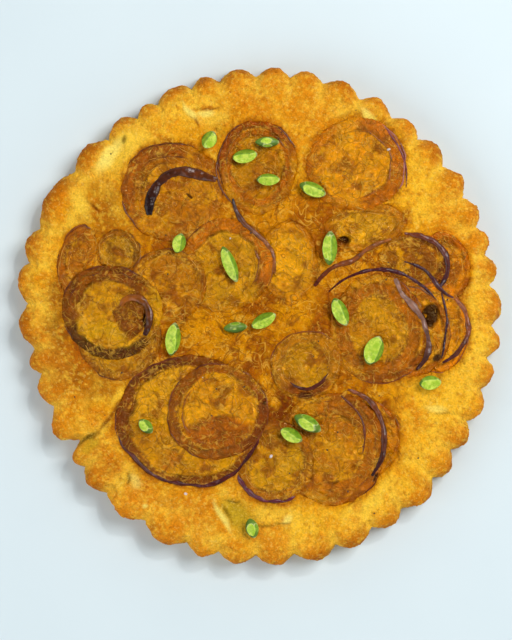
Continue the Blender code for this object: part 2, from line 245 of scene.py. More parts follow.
# The crust: a thick disc with 40 uneven flutes, golden on top and browner along its edge
crust = {
    "creases": (  # between the flutes, as directions in degrees
        7.5, 15, 22, 30, 39, 48, 56, 65, 74.5, 82.5, 90.5, 99.5, 106.5, 115.5, 121.5, 130.5, 142, 158.5,
        167, 177, 188.5, 195, 204, 215, 221, 229.5, 241, 252.5, 260.5, 269.5, 278.5, 288.5, 298, 306.5,
        317, 325, 333, 341.5, 349.5, 357.5,
    ),
    "edge": (  # direction, and distance from the middle to the line through the flutes' crests
        (0, 125.5), (45, 127.2), (80, 129.0), (105, 126.8), (125, 124.4), (165, 126.0), (200, 120.6),
        (235, 125.0), (256, 128.2), (283, 129.6), (310, 128.8), (335, 125.6), (360, 125.5),
    ),
    "fluteDepth": 5.0,
    "evenFlute": 9,  # a narrower flute bulges less than one of this many degrees
    "mostBulge": 1.1,
    "notch": (215.0, 1.7, 4.5),  # angle, spread, depth
    "side": ((3.6, 0.0, 0.70), (0.0, 3.6, 1.00), (1.3, 14.5, 1.00), (3.8, 18.6, 0.85), (8.0, 20.3, 0.40)),
    "top": 19.2,
    "creaseDepth": 2.4,
    "reliefRoom": 0.5,  # the side starts this far in, and its relief comes back out
    "lumpSize": 13,
    "lumpHeight": 1.0,
    # Hollows and cracks, and with a negative depth torn edges that stand up; the dark tones in the hollows
    # and cracks are painted shade
    "marks": (  # x, y, length, width, turn, depth, tone, share
        (-72.5, 82.3, 14.0, 8.5, 40, 2.4, "shade", 0.55),
        (-71.0, 84.5, 30.0, 12.0, 42, 0.3, "light", 0.9),
        (-75.5, 81.6, 20.0, 7.0, 54, -0.3, "pale", 0.95),
        (-68.4, 89.7, 4.4, 2.4, 60, 0.8, "crackShade", 0.85),
        (-23.3, 100.3, 14.0, 6.5, 8, 1.6, "light", 0.7),
        (-27.1, 102.9, 9.4, 3.2, 4, 0.3, "pale", 0.95),
        (-24.5, 105.2, 16.0, 1.3, 2, 0.8, "burntAndCrackShade", 0.75),
        (-34.8, 103.8, 12.0, 2.8, -51, -0.8, "pale", 0.9),
        (-31.4, 98.6, 5.0, 1.3, -60, 0.7, "burntAndCrackShade", 0.7),
        (-14.0, 95.0, 15.0, 1.4, 78, 0.7, "burntAndCrackShade", 0.55),
        (-11.5, -101.5, 20.0, 13.0, -50, 2.8, "shade", 1.0),
        (-13.0, -94.6, 9.0, 1.4, -5, 0.8, "crackShade", 0.75),
        (-18.6, -102.2, 18.0, 2.6, -60, -0.9, "pale", 0.95),
        (-16.2, -101.0, 8.0, 1.2, -62, 0.7, "crackShade", 0.7),
        (14.2, -103.6, 7.0, 4.0, 40, -0.8, "pale", 0.8),
        (7.7, -106.4, 19.0, 1.3, 8, 0.8, "crackShade", 0.65),
        (-73.9, -49.5, 29.0, 1.9, 51, 1.8, "burntAndCrackShade", 0.85),
        (-87.2, -62.6, 14.0, 2.6, 27, 2.4, "crackShade", 0.9),
        (-85.5, -66.5, 11.0, 6.0, 42, 1.2, "shade", 0.75),
        (-97.0, -64.6, 9.0, 2.8, -8, -0.7, "pale", 0.95),
        (-71.5, -41.0, 11.0, 4.4, 60, -0.4, "light", 0.8),
        (56.0, 100.4, 13.0, 4.6, -53, -0.9, "pale", 0.9),
        (64.2, 92.3, 7.0, 3.6, -40, -0.8, "pale", 0.85),
        (63.5, 90.0, 17.0, 1.3, -38, 0.8, "burntAndCrackShade", 0.75),
        (-62.3, -84.3, 9.0, 5.0, -60, 2.0, "pale", 0.7),
        (-66.0, -82.6, 7.0, 1.8, 80, 0.8, "crackShade", 0.8),
        (-57.1, -96.6, 2.6, 2.2, 0, -0.9, "pale", 0.9),
        (-84.0, 55.5, 10.0, 1.3, -35, 0.7, "burntAndCrackShade", 0.8),
        (-91.0, 57.5, 17.0, 9.0, -60, 0.3, "light", 0.8),
        (57.9, -94.9, 26.0, 6.5, 56, 0.3, "light", 0.7),
        (94.0, -50.0, 12.0, 1.4, 4, 0.6, "crackShade", 0.5),
        (90.0, -47.5, 12.0, 4.0, -8, 0.2, "pale", 0.6),
        (-3.0, 98.0, 6.0, 1.2, 150, 0.5, "burntAndCrackShade", 0.5),
    ),
    "zones": ((8.0, 84.0, 960, 0.86), (84.0, 42.0, 480, 0.92), (42.0, 11.0, 240, 0.95), (11.0, 2.0, 80, 1.1)),
    "gold": "#D8941E",
    "yellow": "#EBB238",
    "light": "#F3CB62",
    "orange": "#D28418",
    "crest": "#D2801E",
    "browned": "#AC5F12",
    # The rim's real burnt brown, also used as painted shade along thin cracks
    "burntAndCrackShade": "#763808",
    "pale": "#F4E2A4",
    "shade": "#C2A23A",
    # Painted shade in thin cracks and in the notch
    "crackShade": "#6E5A22",
    "soaked": "#B87A14",
    "soakedDark": "#94530C",
    "syrup": "#7C430A",
    "butter": "#D49C1C",
    "patches": (  # x, y, reach, tone, share: where baking and syrup left larger differences of tone
        (-22.0, -8.0, 17.0, "butter", 0.75),
        (20.0, 6.0, 15.0, "butter", 0.70),
        (5.0, 48.0, 12.0, "butter", 0.55),
        (-4.0, -22.0, 15.0, "soakedDark", 0.75),
        (18.0, -47.0, 17.0, "burntAndCrackShade", 1.0),
        (36.0, 4.0, 10.0, "soakedDark", 0.60),
        (-36.0, 34.0, 10.0, "soakedDark", 0.65),
        (-79.0, 52.0, 15.0, "soakedDark", 0.70),
        (-104.0, -26.0, 21.0, "browned", 0.85),
        (-101.0, 12.0, 10.0, "soakedDark", 0.80),
        (-99.0, -6.0, 9.0, "syrup", 0.80),
        (-84.0, -34.0, 12.0, "soakedDark", 0.60),
        (-94.0, -50.0, 14.0, "orange", 0.60),
        (-84.0, -78.0, 14.0, "browned", 0.65),
        (-60.0, -98.0, 18.0, "crest", 0.85),
        (-32.0, -104.0, 17.0, "crest", 0.75),
        (4.0, -118.0, 15.0, "crest", 0.75),
        (104.0, 44.0, 17.0, "orange", 0.70),
        (22.0, 108.0, 26.0, "orange", 0.85),
        (98.0, 62.0, 14.0, "orange", 0.60),
        (-10.0, 112.0, 14.0, "orange", 0.60),
        (-90.0, 74.0, 16.0, "orange", 0.45),
        (98.0, -40.0, 22.0, "yellow", 0.70),
        (84.0, -78.0, 22.0, "yellow", 0.65),
        (30.0, -106.0, 18.0, "yellow", 0.60),
        (80.0, 70.0, 17.0, "yellow", 0.55),
        (-104.0, 34.0, 17.0, "yellow", 0.45),
        (-48.0, 102.0, 15.0, "yellow", 0.45),
    ),
    "glow": (1.05, 0.95, 0.38),  # how much red, green and blue the egg and butter in the dough send back
    "grainSize": 2.2,
    "grainHeight": 0.75,
    "fineSize": 1.2,
    "fineHeight": 0.40,
    "swellSize": 9.5,
    "swellHeight": 4.0,
}


def stretchOf(marks, angle):  # between which two marks an angle lies, how far along, and their distance
    degrees = (np.degrees(angle) - marks[0]) % 360 + marks[0]
    row = np.clip(np.searchsorted(marks, degrees, "right") - 1, 0, len(marks) - 2)
    width = marks[row + 1] - marks[row]
    return row, (degrees - marks[row]) / width, width


def lobes(angle):  # how far out each point lies on its flute's bulge, and the flute's number
    creases = np.array([*crust["creases"], crust["creases"][0] + 360], float)
    flute, along, width = stretchOf(creases, angle)
    bulge = np.minimum(crust["mostBulge"], np.sqrt(width / crust["evenFlute"]))
    return bulge * np.sin(math.pi * along), flute


def edgeDistance(angle):
    marks, reach = np.array(crust["edge"], float).T
    row, along, _ = stretchOf(marks, angle)
    return reach[row] + (reach[row + 1] - reach[row]) * ease(along)


def outline(angle, flutes=1.0):
    lobe, _ = lobes(angle)
    meanLobe = 2 / math.pi
    where, spread, depth = crust["notch"]
    turn = (angle - math.radians(where) + math.pi) % fullTurn - math.pi
    notch = depth * np.exp(-((turn / math.radians(spread)) ** 2))
    return edgeDistance(angle) - crust["fluteDepth"] * (1 - meanLobe - flutes * (lobe - meanLobe)) - notch


def outlineMiddle():  # the frame's middle, in the tables' millimetres
    marks = np.array([*crust["creases"], crust["creases"][0] + 360], float)
    angle = np.radians(np.interp(np.arange(0, len(marks) - 1, 1 / 6), np.arange(len(marks)), marks))
    rows = [(outline(angle, share) - inset) * np.array([np.cos(angle), np.sin(angle)])
            for inset, _, share in crust["side"]]
    every = np.concatenate(rows, 1)
    return (every.min(1) + every.max(1)) / 2


middle = outlineMiddle()


def inFrame(x, y, z):
    return np.stack([x - middle[0], y - middle[1], z + 0 * x], 1)


def spotAt(x, y, hx, hy, length, width, turn):  # squared distance in an uneven oval, 1 at its edge
    x = x + 0.8 * softNoise(x, y, 0, 4, 55)
    y = y + 0.8 * softNoise(x, y, 0, 4, 56)
    u, v = turnedTo(x, y, (hx, hy), turn)
    u, v = u / (length / 2), v / (width / 2)
    return u * u + v * v


def markDepth(x, y):  # how far the hollows and cracks lower the crust, less what stands up
    depth = 0 * x
    for *place, deepest, _, _ in crust["marks"]:
        depth = depth + deepest * np.exp(-spotAt(x, y, *place) ** (2 if deepest < 0 else 1))
    return depth


def paintMarks(x, y, colour):
    covered = 0 * x
    for *place, _, tone, share in crust["marks"]:
        there = share * np.exp(-spotAt(x, y, *place) ** 2)
        # The dark tones laid here are painted shade in the hollows and cracks
        colour = mix(colour, linear(crust[tone]), there)
        covered = np.maximum(covered, there)
    return colour, covered


# Onion slices, the topmost first. Each has its place, half width and length, turn, where its raised
# bands end, two colours of flesh, bands (outer and inner share of the radius, colour, from and to
# which angle), skins (thin dark edges: share, width, colour, angles) and lips (grainy pale edges).
slices = (
    {"name": "onion_south_small", "at": (24.3, -25.4), "half": (18.4, 17.9), "turn": 0, "ends": (0.62,),
     "flesh": ("#AF8218", "#BC9322"),
     "bands": ((1.0, 0.62, "#A8741A", 0, 0), (0.88, 0.60, "#7A3F12", 215, 335)),
     "skins": ((1.0, 1.0, "#7A3E12", 50, 210), (0.66, 2.0, "#4E1E10", 225, 340)),
     "lips": ((0.93, 1.6, 20, 200), (0.62, 1.0, 0, 200))},
    {"name": "onion_southwest_inner", "at": (-20.8, -48.9), "half": (25.1, 25.1), "turn": 0, "ends": (0.77,),
     "flesh": ("#CC9418", "#D6A420"),
     "bands": ((1.0, 0.77, "#84490F", 0, 0), (1.0, 0.77, "#70360D", -70, 40),
               (0.77, 0.10, "#96540E", 195, 350)),
     "skins": ((1.0, 1.0, "#6E3412", 0, 0), (0.70, 0.9, "#8A4A12", 100, 260)),
     "lips": ((0.96, 2.6, 15, 112), (0.78, 1.1, 290, 70), (0.80, 1.6, 150, 235))},
    {"name": "onion_southwest", "at": (-35.1, -53.6), "half": (35.9, 34.3), "turn": 0, "ends": (0.86,),
     "flesh": ("#B88414", "#CDA01C"),
     "bands": ((1.0, 0.84, "#74390E", 0, 0), (1.0, 0.83, "#501E0A", 85, 150),
               (1.0, 0.80, "#6E360E", 150, 205), (0.84, 0.50, "#A8680F", 225, 262)),
     "skins": ((0.985, 2.4, "#4A1712", 192, 350), (1.0, 1.4, "#642C12", 80, 195)),
     "lips": ((0.86, 1.4, 0, 0), (0.62, 1.3, 140, 235), (0.93, 0.8, 205, 250))},
    {"name": "onion_west", "at": (-74.6, 1.8), "half": (25.6, 24.1), "turn": 0, "ends": (0.86, 0.70),
     "flesh": ("#BA8C1A", "#CBA51C"),
     "bands": ((1.0, 0.86, "#6E360C", 20, 205), (0.86, 0.70, "#7E440E", 20, 205),
               (1.0, 0.78, "#3A120C", 185, 335), (0.70, 0.0, "#6E3A0C", -75, 60)),
     "skins": ((1.0, 1.5, "#3F1410", 180, 340), (0.86, 0.9, "#6A3210", 20, 200),
               (0.995, 1.0, "#5E2A10", 20, 180)),
     "lips": ((0.72, 1.2, 190, 270), (0.97, 2.2, 15, 60), (0.60, 1.6, 150, 230))},
    {"name": "onion_east", "at": (60.7, -7.4), "half": (25.6, 27.2), "turn": 0, "ends": (0.86, 0.60),
     "flesh": ("#B88222", "#C6982A"),
     "bands": ((1.0, 0.86, "#8A480A", 230, 80), (0.86, 0.60, "#A0600E", 0, 0)),
     "skins": ((1.0, 1.0, "#6E3412", 250, 80),),
     "lips": ((0.86, 1.2, 90, 260), (0.60, 1.4, 0, 0), (0.98, 1.8, 230, 320))},
    {"name": "onion_west_lower", "at": (-70.5, -11.0), "half": (22.0, 21.5), "turn": 0, "ends": (0.80,),
     "flesh": ("#A77A1E", "#B5862C"),
     "bands": ((1.0, 0.80, "#8E5A14", 0, 0),),
     "skins": ((1.0, 0.9, "#6A3A14", 0, 0),),
     "lips": ((0.84, 2.4, 0, 0),)},
    {"name": "onion_west_inner", "at": (-46.4, 14.6), "half": (20.0, 19.5), "turn": 0, "ends": (0.84,),
     "flesh": ("#A87016", "#B98420"),
     "bands": ((1.0, 0.84, "#96601A", 0, 0),),
     "skins": ((1.0, 0.9, "#6E3A14", 20, 200),),
     "lips": ((0.86, 1.8, 0, 0), (1.0, 1.2, -30, 100))},
    {"name": "onion_south", "at": (8.5, -74.1), "half": (19.5, 21.5), "turn": 12, "ends": (0.76,),
     "flesh": ("#B1861E", "#C19826"),
     "bands": ((1.0, 0.76, "#9A6218", 0, 0),),
     "skins": ((0.99, 2.6, "#56202A", 185, 290), (1.0, 0.9, "#74401A", 60, 185)),
     "lips": ((0.93, 0.8, 190, 240), (0.76, 1.4, 0, 0), (0.90, 2.2, 250, 360))},
    {"name": "onion_southeast", "at": (36.6, -67.4), "half": (27.7, 29.7), "turn": 8, "ends": (0.84, 0.60),
     "flesh": ("#AF701A", "#BE8A22"),
     "bands": ((1.0, 0.84, "#96560F", 250, 100), (0.84, 0.60, "#A6660F", 240, 110)),
     "skins": ((1.0, 1.2, "#5E2A14", 270, 100), (0.84, 0.8, "#7A4012", 270, 90)),
     "lips": ((0.60, 1.3, 230, 120), (0.92, 1.6, 60, 150))},
    {"name": "onion_east_inner", "at": (77.6, -8.4), "half": (19.5, 23.6), "turn": 0, "ends": (0.84,),
     "flesh": ("#B0701A", "#BE7F1E"),
     "bands": ((1.0, 0.84, "#A0600F", 0, 0),),
     "skins": ((1.0, 1.0, "#7A4618", 0, 0),),
     "lips": ((0.84, 1.0, 0, 0),)},
    {"name": "onion_far_east", "at": (88.9, -6.4), "half": (17.9, 22.6), "turn": 0, "ends": (0.82,),
     "flesh": ("#DC9420", "#E0A22A"),
     "bands": ((1.0, 0.82, "#CC821C", 0, 0),),
     "skins": ((1.0, 1.0, "#8A4618", 0, 0),),
     "lips": ((0.84, 1.2, 0, 0),)},
    {"name": "onion_north", "at": (-0.3, 75.6), "half": (20.5, 23.6), "turn": 0, "ends": (0.80, 0.64),
     "flesh": ("#B8861C", "#A56C16"),
     "bands": ((1.0, 0.80, "#94480F", 15, 200), (0.80, 0.64, "#AC6614", 0, 0)),
     "skins": ((1.0, 1.3, "#5E2A12", 20, 215), (0.80, 0.8, "#74400F", 30, 180)),
     "lips": ((0.82, 1.6, 180, 330), (0.64, 1.2, 0, 0))},
    {"name": "onion_centre", "at": (-16.7, 25.4), "half": (24.6, 23.6), "turn": 0, "ends": (0.72,),
     "flesh": ("#B3831A", "#BE9424"),
     "bands": ((1.0, 0.70, "#AF6911", -35, 175), (1.0, 0.72, "#86460F", -45, -5)),
     "skins": ((1.0, 0.9, "#7A4012", -30, 190), (0.70, 1.1, "#7A4010", -45, 120)),
     "lips": ((0.98, 1.2, -40, 60), (0.74, 1.8, 180, 300))},
    {"name": "onion_northeast_dark", "at": (78.7, 27.4), "half": (17.9, 14.3), "turn": -12, "ends": (0.78,),
     "flesh": ("#7A4412", "#905E1C"),
     "bands": ((1.0, 0.78, "#6E340E", -90, 100),),
     "skins": ((1.0, 1.2, "#5E2610", -80, 90),),
     "lips": ((0.80, 1.4, 0, 0),)},
    {"name": "onion_northwest", "at": (-43.8, 62.8), "half": (25.6, 26.1), "turn": 0, "ends": (0.74,),
     "flesh": ("#AA6E1A", "#B8822A"),
     "bands": ((1.0, 0.74, "#94530F", 60, 215), (0.74, 0.60, "#A66A1A", 60, 200)),
     "skins": ((1.0, 1.2, "#6A3612", 60, 230), (0.74, 0.9, "#7A420F", 60, 200)),
     "lips": ((0.88, 1.4, 215, 350), (0.55, 1.4, 0, 0))},
    {"name": "onion_west_pale", "at": (-71.5, 32.5), "half": (11.6, 11.3), "turn": 0, "ends": (0.72,),
     "flesh": ("#A07828", "#B08A38"),
     "bands": ((1.0, 0.72, "#96621C", 0, 0),),
     "skins": ((1.0, 1.0, "#7A4A18", 0, 0),),
     "lips": ((0.60, 3.0, 0, 0),)},
    {"name": "onion_west_outer", "at": (-92.5, 28.5), "half": (9.4, 18.0), "turn": -16, "ends": (0.60,),
     "flesh": ("#A86A22", "#BC8234"),
     "bands": ((1.0, 0.60, "#9A5A18", 0, 0),),
     "skins": ((1.0, 1.2, "#7A3E14", 60, 260),),
     "lips": ((0.60, 3.0, 0, 0),)},
    {"name": "onion_southeast_lower", "at": (52.0, -62.8), "half": (20.5, 21.5), "turn": 0, "ends": (0.86,),
     "flesh": ("#BC7A1A", "#C88A22"),
     "bands": ((1.0, 0.86, "#A65E12", 0, 0),),
     "skins": ((1.0, 0.8, "#8A4814", 0, 0),),
     "lips": ((0.86, 1.4, 0, 0),)},
    {"name": "onion_northeast", "at": (49.5, 76.6), "half": (26.1, 23.6), "turn": 0, "ends": (0.72,),
     "flesh": ("#CC8E1D", "#D89E2A"),
     "bands": ((1.0, 0.72, "#B06814", -95, 100), (1.0, 0.80, "#B87A24", 100, 265)),
     "skins": ((1.0, 1.1, "#9A5A4A", -50, 60), (0.72, 0.9, "#8A4C12", -90, 100)),
     "lips": ((0.88, 1.4, 90, 260), (0.45, 1.3, 0, 0))},
    {"name": "onion_northeast_lower", "at": (54.6, 44.8), "half": (21.5, 12.3), "turn": 6, "ends": (0.70,),
     "flesh": ("#BE8C2A", "#CFA448"),
     "bands": ((1.0, 0.70, "#A8722A", 0, 0),),
     "skins": ((1.0, 0.8, "#7A4A1A", 180, 360),),
     "lips": ((0.80, 3.2, 0, 0),)},
    {"name": "onion_far_east_upper", "at": (93.0, 23.3), "half": (14.6, 19.5), "turn": 0, "ends": (0.80,),
     "flesh": ("#C87F1A", "#D08E24"),
     "bands": ((1.0, 0.80, "#A85E14", 0, 0),),
     "skins": ((1.0, 1.0, "#7E4014", -70, 90),),
     "lips": ((0.80, 1.4, 0, 0),)},
    {"name": "onion_centre_yellow", "at": (15.1, 27.4), "half": (15.4, 21.5), "turn": 0, "ends": (0.78,),
     "flesh": ("#DCA418", "#E4B024"),
     "bands": ((1.0, 0.78, "#CC9220", 0, 0),),
     "skins": ((1.0, 0.8, "#9A6418", 90, 270),),
     "lips": ((0.96, 2.2, -70, 80),)},
)
onion = {
    "floor": 15.2,
    "top": 19.7,
    "stackStep": 0.07,
    "bandDrop": 0.7,
    "meshStep": 0.6,
    "sink": 3.2,
    "lipHeight": 0.42,
    "skinHeight": 0.35,
    "thickSkin": 2,  # a wider skin is unbroken and has a painted lilac sheen
    "glaze": (1.06, 0.79, 0.08),  # how much red, green and blue the caramel lets through
    "thinGlaze": (1.0, 0.83, 0.10),  # the same where syrup only soaked the crust
    "lip": "#E6B860",
    # Colour of the painted lilac highlight on thick skins
    "lilac": "#C39AA0",
    "amber": "#84480A",
    "brightFlesh": "#D9A72C",
    # Painted shade between the grains on the lips
    "creviceShade": "#6E3A0E",
    # Dents whose dark colour is partly the onion's own and partly painted shade in the hollow
    "pits": (  # x, y, length, width, turn, depth, colour: small dark places in the slices
        (87.0, 0.2, 11.5, 8.0, 80, 1.8, "#30100A"),
        (43.0, 38.0, 6.5, 4.4, 20, 1.2, "#3A140C"),
        (90.5, -21.5, 5.0, 3.6, 40, 0.8, "#2A1014"),
        (-57.5, -3.0, 9.0, 2.6, -80, 0.8, "#2C0E08"),
        (31.0, 51.0, 1.8, 1.4, 0, 0.4, "#1E0E08"),
        (23.5, -40.7, 8.0, 3.6, 5, 1.1, "#4A200C"),
        (42.8, 38.7, 4.6, 3.6, 0, 1.2, "#451A10"),
        (3.0, -44.3, 2.4, 1.6, 20, 0.5, "#3E1A0C"),
        (-35.1, 60.7, 4.2, 1.4, -40, 0.5, "#4A200E"),
        (59.4, -82.0, 6.0, 1.5, 62, 0.4, "#2E1210"),
    ),
    "melts": {  # from and to which angle a slice's edge melts into what lies round it
        "onion_south_small": ((-35, 45),),
        "onion_east": ((105, 245),),
        "onion_west_lower": ((10, 80),),
        "onion_west_inner": ((-150, 30),),
        "onion_south": ((20, 110),),
        "onion_southeast": ((110, 215),),
        "onion_north": ((215, 350),),
        "onion_centre": ((170, 320),),
        "onion_northeast_dark": ((150, 330),),
        "onion_northwest": ((215, 60),),
        "onion_west_pale": ((90, 330),),
        "onion_west_outer": ((270, 90),),
        "onion_southeast_lower": ((280, 20),),
        "onion_northeast": ((85, 290),),
        "onion_northeast_lower": ((150, 60),),
        "onion_far_east_upper": ((-90, 30),),
        "onion_centre_yellow": ((0, 0),),
    },
}


def sliceTop(index):
    return onion["top"] + onion["stackStep"] * (len(slices) - index)


def sliceRadius(index):
    return sum(slices[index]["half"]) / 2


def inSlice(index, x, y):  # share of the radius and angle of each point in a slice's uneven oval
    spec = slices[index]
    u, v = turnedTo(x, y, spec["at"], spec["turn"])
    u, v = u / spec["half"][0], v / spec["half"][1]
    angle = np.arctan2(v, u)
    return np.hypot(u, v) / unevenness(index, angle), angle


def fromSlice(index, u, v):  # millimetres along and across a slice, back in the tables' own directions
    x0, y0 = slices[index]["at"]
    turn = math.radians(slices[index]["turn"])
    c, s = math.cos(turn), math.sin(turn)
    return x0 + u * c - v * s, y0 + u * s + v * c


def onSlice(index, rho, angle):  # the place at a share of a slice's radius
    half = slices[index]["half"]
    return fromSlice(index, half[0] * rho * np.cos(angle), half[1] * rho * np.sin(angle))


def unevenness(index, angle):  # the first two waves are the solid's own, the small ones roughen the edge
    wide = 0.025 * np.sin(2 * angle + index) + 0.018 * np.sin(3 * angle + 2.3 * index)
    small = 0.008 * np.sin(7 * angle + 1.7 * index) + 0.006 * np.sin(13 * angle + 3.1 * index)
    return 1 + wide + small + 0.004 * np.sin(23 * angle + 0.9 * index)


def sinkUnder(index, x, y):  # how far a surface dips below the slices that lie on it
    deepest = 0 * x
    for above in range(index):
        rho, _ = inSlice(above, x, y)
        inside = (1 - rho) * sliceRadius(above)
        deepest = np.maximum(deepest, onion["sink"] * ease((inside - 0.3) / 1.3))
    return deepest


def onTop(index, x, y):  # 1 where a slice isn't covered by one above it
    return ease(1.2 - 2 * sinkUnder(index, x, y) / onion["sink"])


def makeCrustSheet():
    rings = []
    for share, steps in ((0.3, 60), (0.65, 120), (0.92, 240)):
        angle = np.arange(steps) * fullTurn / steps
        r = share * (outline(angle, 0) - 4)
        rings.append(inFrame(r * np.cos(angle), r * np.sin(angle), 0))
    knots = np.array(crust["side"], float)
    steps = crust["zones"][0][2]
    angle = np.arange(steps) * fullTurn / steps
    ends = np.concatenate([knots[:1], knots, knots[-1:] + (knots[-1:] - knots[-2:-1]) * [1, 0.1, 1]])
    for before, start, end, after in zip(ends, ends[1:], ends[2:], ends[3:]):
        pieces = max(2, round(math.dist(start[:2], end[:2]) / 1.15))
        for k in range(pieces):
            t = k / pieces
            inset, height, share = onCurve(before, start, end, after, t)
            if start[1] == 0 and t > 0 and height < 0.05:
                height = 0.05
            r = outline(angle, share) - inset - crust["reliefRoom"]
            x, y = r * np.cos(angle), r * np.sin(angle)
            dip = rimDip(angle, inset) * float(ease((height - 15) / 5))
            height = max(height, 0) * (1 + 0.03 * softNoise(x, y, height, crust["lumpSize"], 3)) - dip
            rings.append(inFrame(x, y, height if start[1] > 0 or t > 0 else 0))
    for outer, inner, steps, gap in crust["zones"]:
        angle = np.arange(steps) * fullTurn / steps
        edge = outline(angle, 0)
        atRim = outer == crust["zones"][0][0]
        first = edge - outer if atRim else outer + 0 * angle
        rows = round((float(first.mean()) - inner) / gap)
        for k in range(rows + (inner == crust["zones"][-1][1])):
            t = k / rows
            r = first * (1 - t) + inner * t
            inset = edge - r
            flutes = 0.40 * (1 - ease((inset - 8) / 6.5))
            r = r + (outline(angle, flutes) - edge) * (inset < 16)
            x, y = r * np.cos(angle), r * np.sin(angle)
            rings.append(inFrame(x, y, crustHeight(x, y, edge - r)))
    return ringsMesh("tartCrust", rings)


def rimDip(angle, inset):  # the crease between two flutes runs a little way in over the rim
    lobe, _ = lobes(angle)
    return crust["creaseDepth"] * (1 - np.minimum(lobe, 1)) ** 1.3 * (1 - ease((inset - 4) / 12))


def crustHeight(x, y, inset):
    rim = 1.1 * (1 - ease((inset - 8) / 7)) - rimDip(np.arctan2(y, x), inset)
    lump = softNoise(x, y, 0, crust["lumpSize"], 5) + 0.4 * softNoise(x, y, 0, 5.5, 6)
    height = crust["top"] + rim + 0.8 * crust["lumpHeight"] * lump - markDepth(x, y)
    for index in reversed(range(len(slices))):  # syrup and dough rise to each slice's edge
        rho, _ = inSlice(index, x, y)
        outside = (rho - 1) * sliceRadius(index)
        near = np.exp(-(np.maximum(outside, 0) / (3.4 + 1.2 * softNoise(x, y, 0, 7, 7))) ** 2) * 0.9
        rise = sliceTop(index) - 0.50 + 0.40 * softNoise(x, y, 0, 4.5, 8)
        height = height + (rise - height) * near
    return height - sinkUnder(len(slices), x, y)


def soakedShare(x, y):  # where syrup has soaked the crust between and around the onions
    radius = np.hypot(x, y + 6)
    inner = ease((86 - radius) / 16 + 0.35 * softNoise(x, y, 0, 11, 21))
    near = 0 * x
    for index in range(len(slices)):
        rho, _ = inSlice(index, x, y)
        outside = np.maximum((rho - 1) * sliceRadius(index), 0)
        near = np.maximum(near, np.exp(-(outside / (2.2 + 1.6 * softNoise(x, y, 0, 8, 22))) ** 2))
    return np.clip(np.maximum(inner, 0.85 * near), 0, 1)


def patchTone(x, y, colour):
    for px, py, reach, tone, share in crust["patches"]:
        away = np.hypot(x - px, y - py) / reach + 0.35 * softNoise(x, y, 0, reach * 0.4, 23)
        colour = mix(colour, linear(crust[tone]), share * ease(1.3 - away))
    return colour


def soakedTone(x, y):  # crust under syrup: amber, with darker pools and buttery lumps
    tone = mix(linear(crust["soaked"]), linear(crust["soakedDark"]), ease(0.5 + 1.1 * cloud(x, y, 10, 46)))
    tone = patchTone(x, y, tone)
    tone = mix(tone, linear(crust["butter"]), 0.80 * ease(1.7 * cloud(x, y, 6.5, 47) - 0.25))
    return mix(tone, linear(crust["syrup"]), 0.85 * ease(1.7 * cloud(x, y, 5.5, 48) - 0.4))


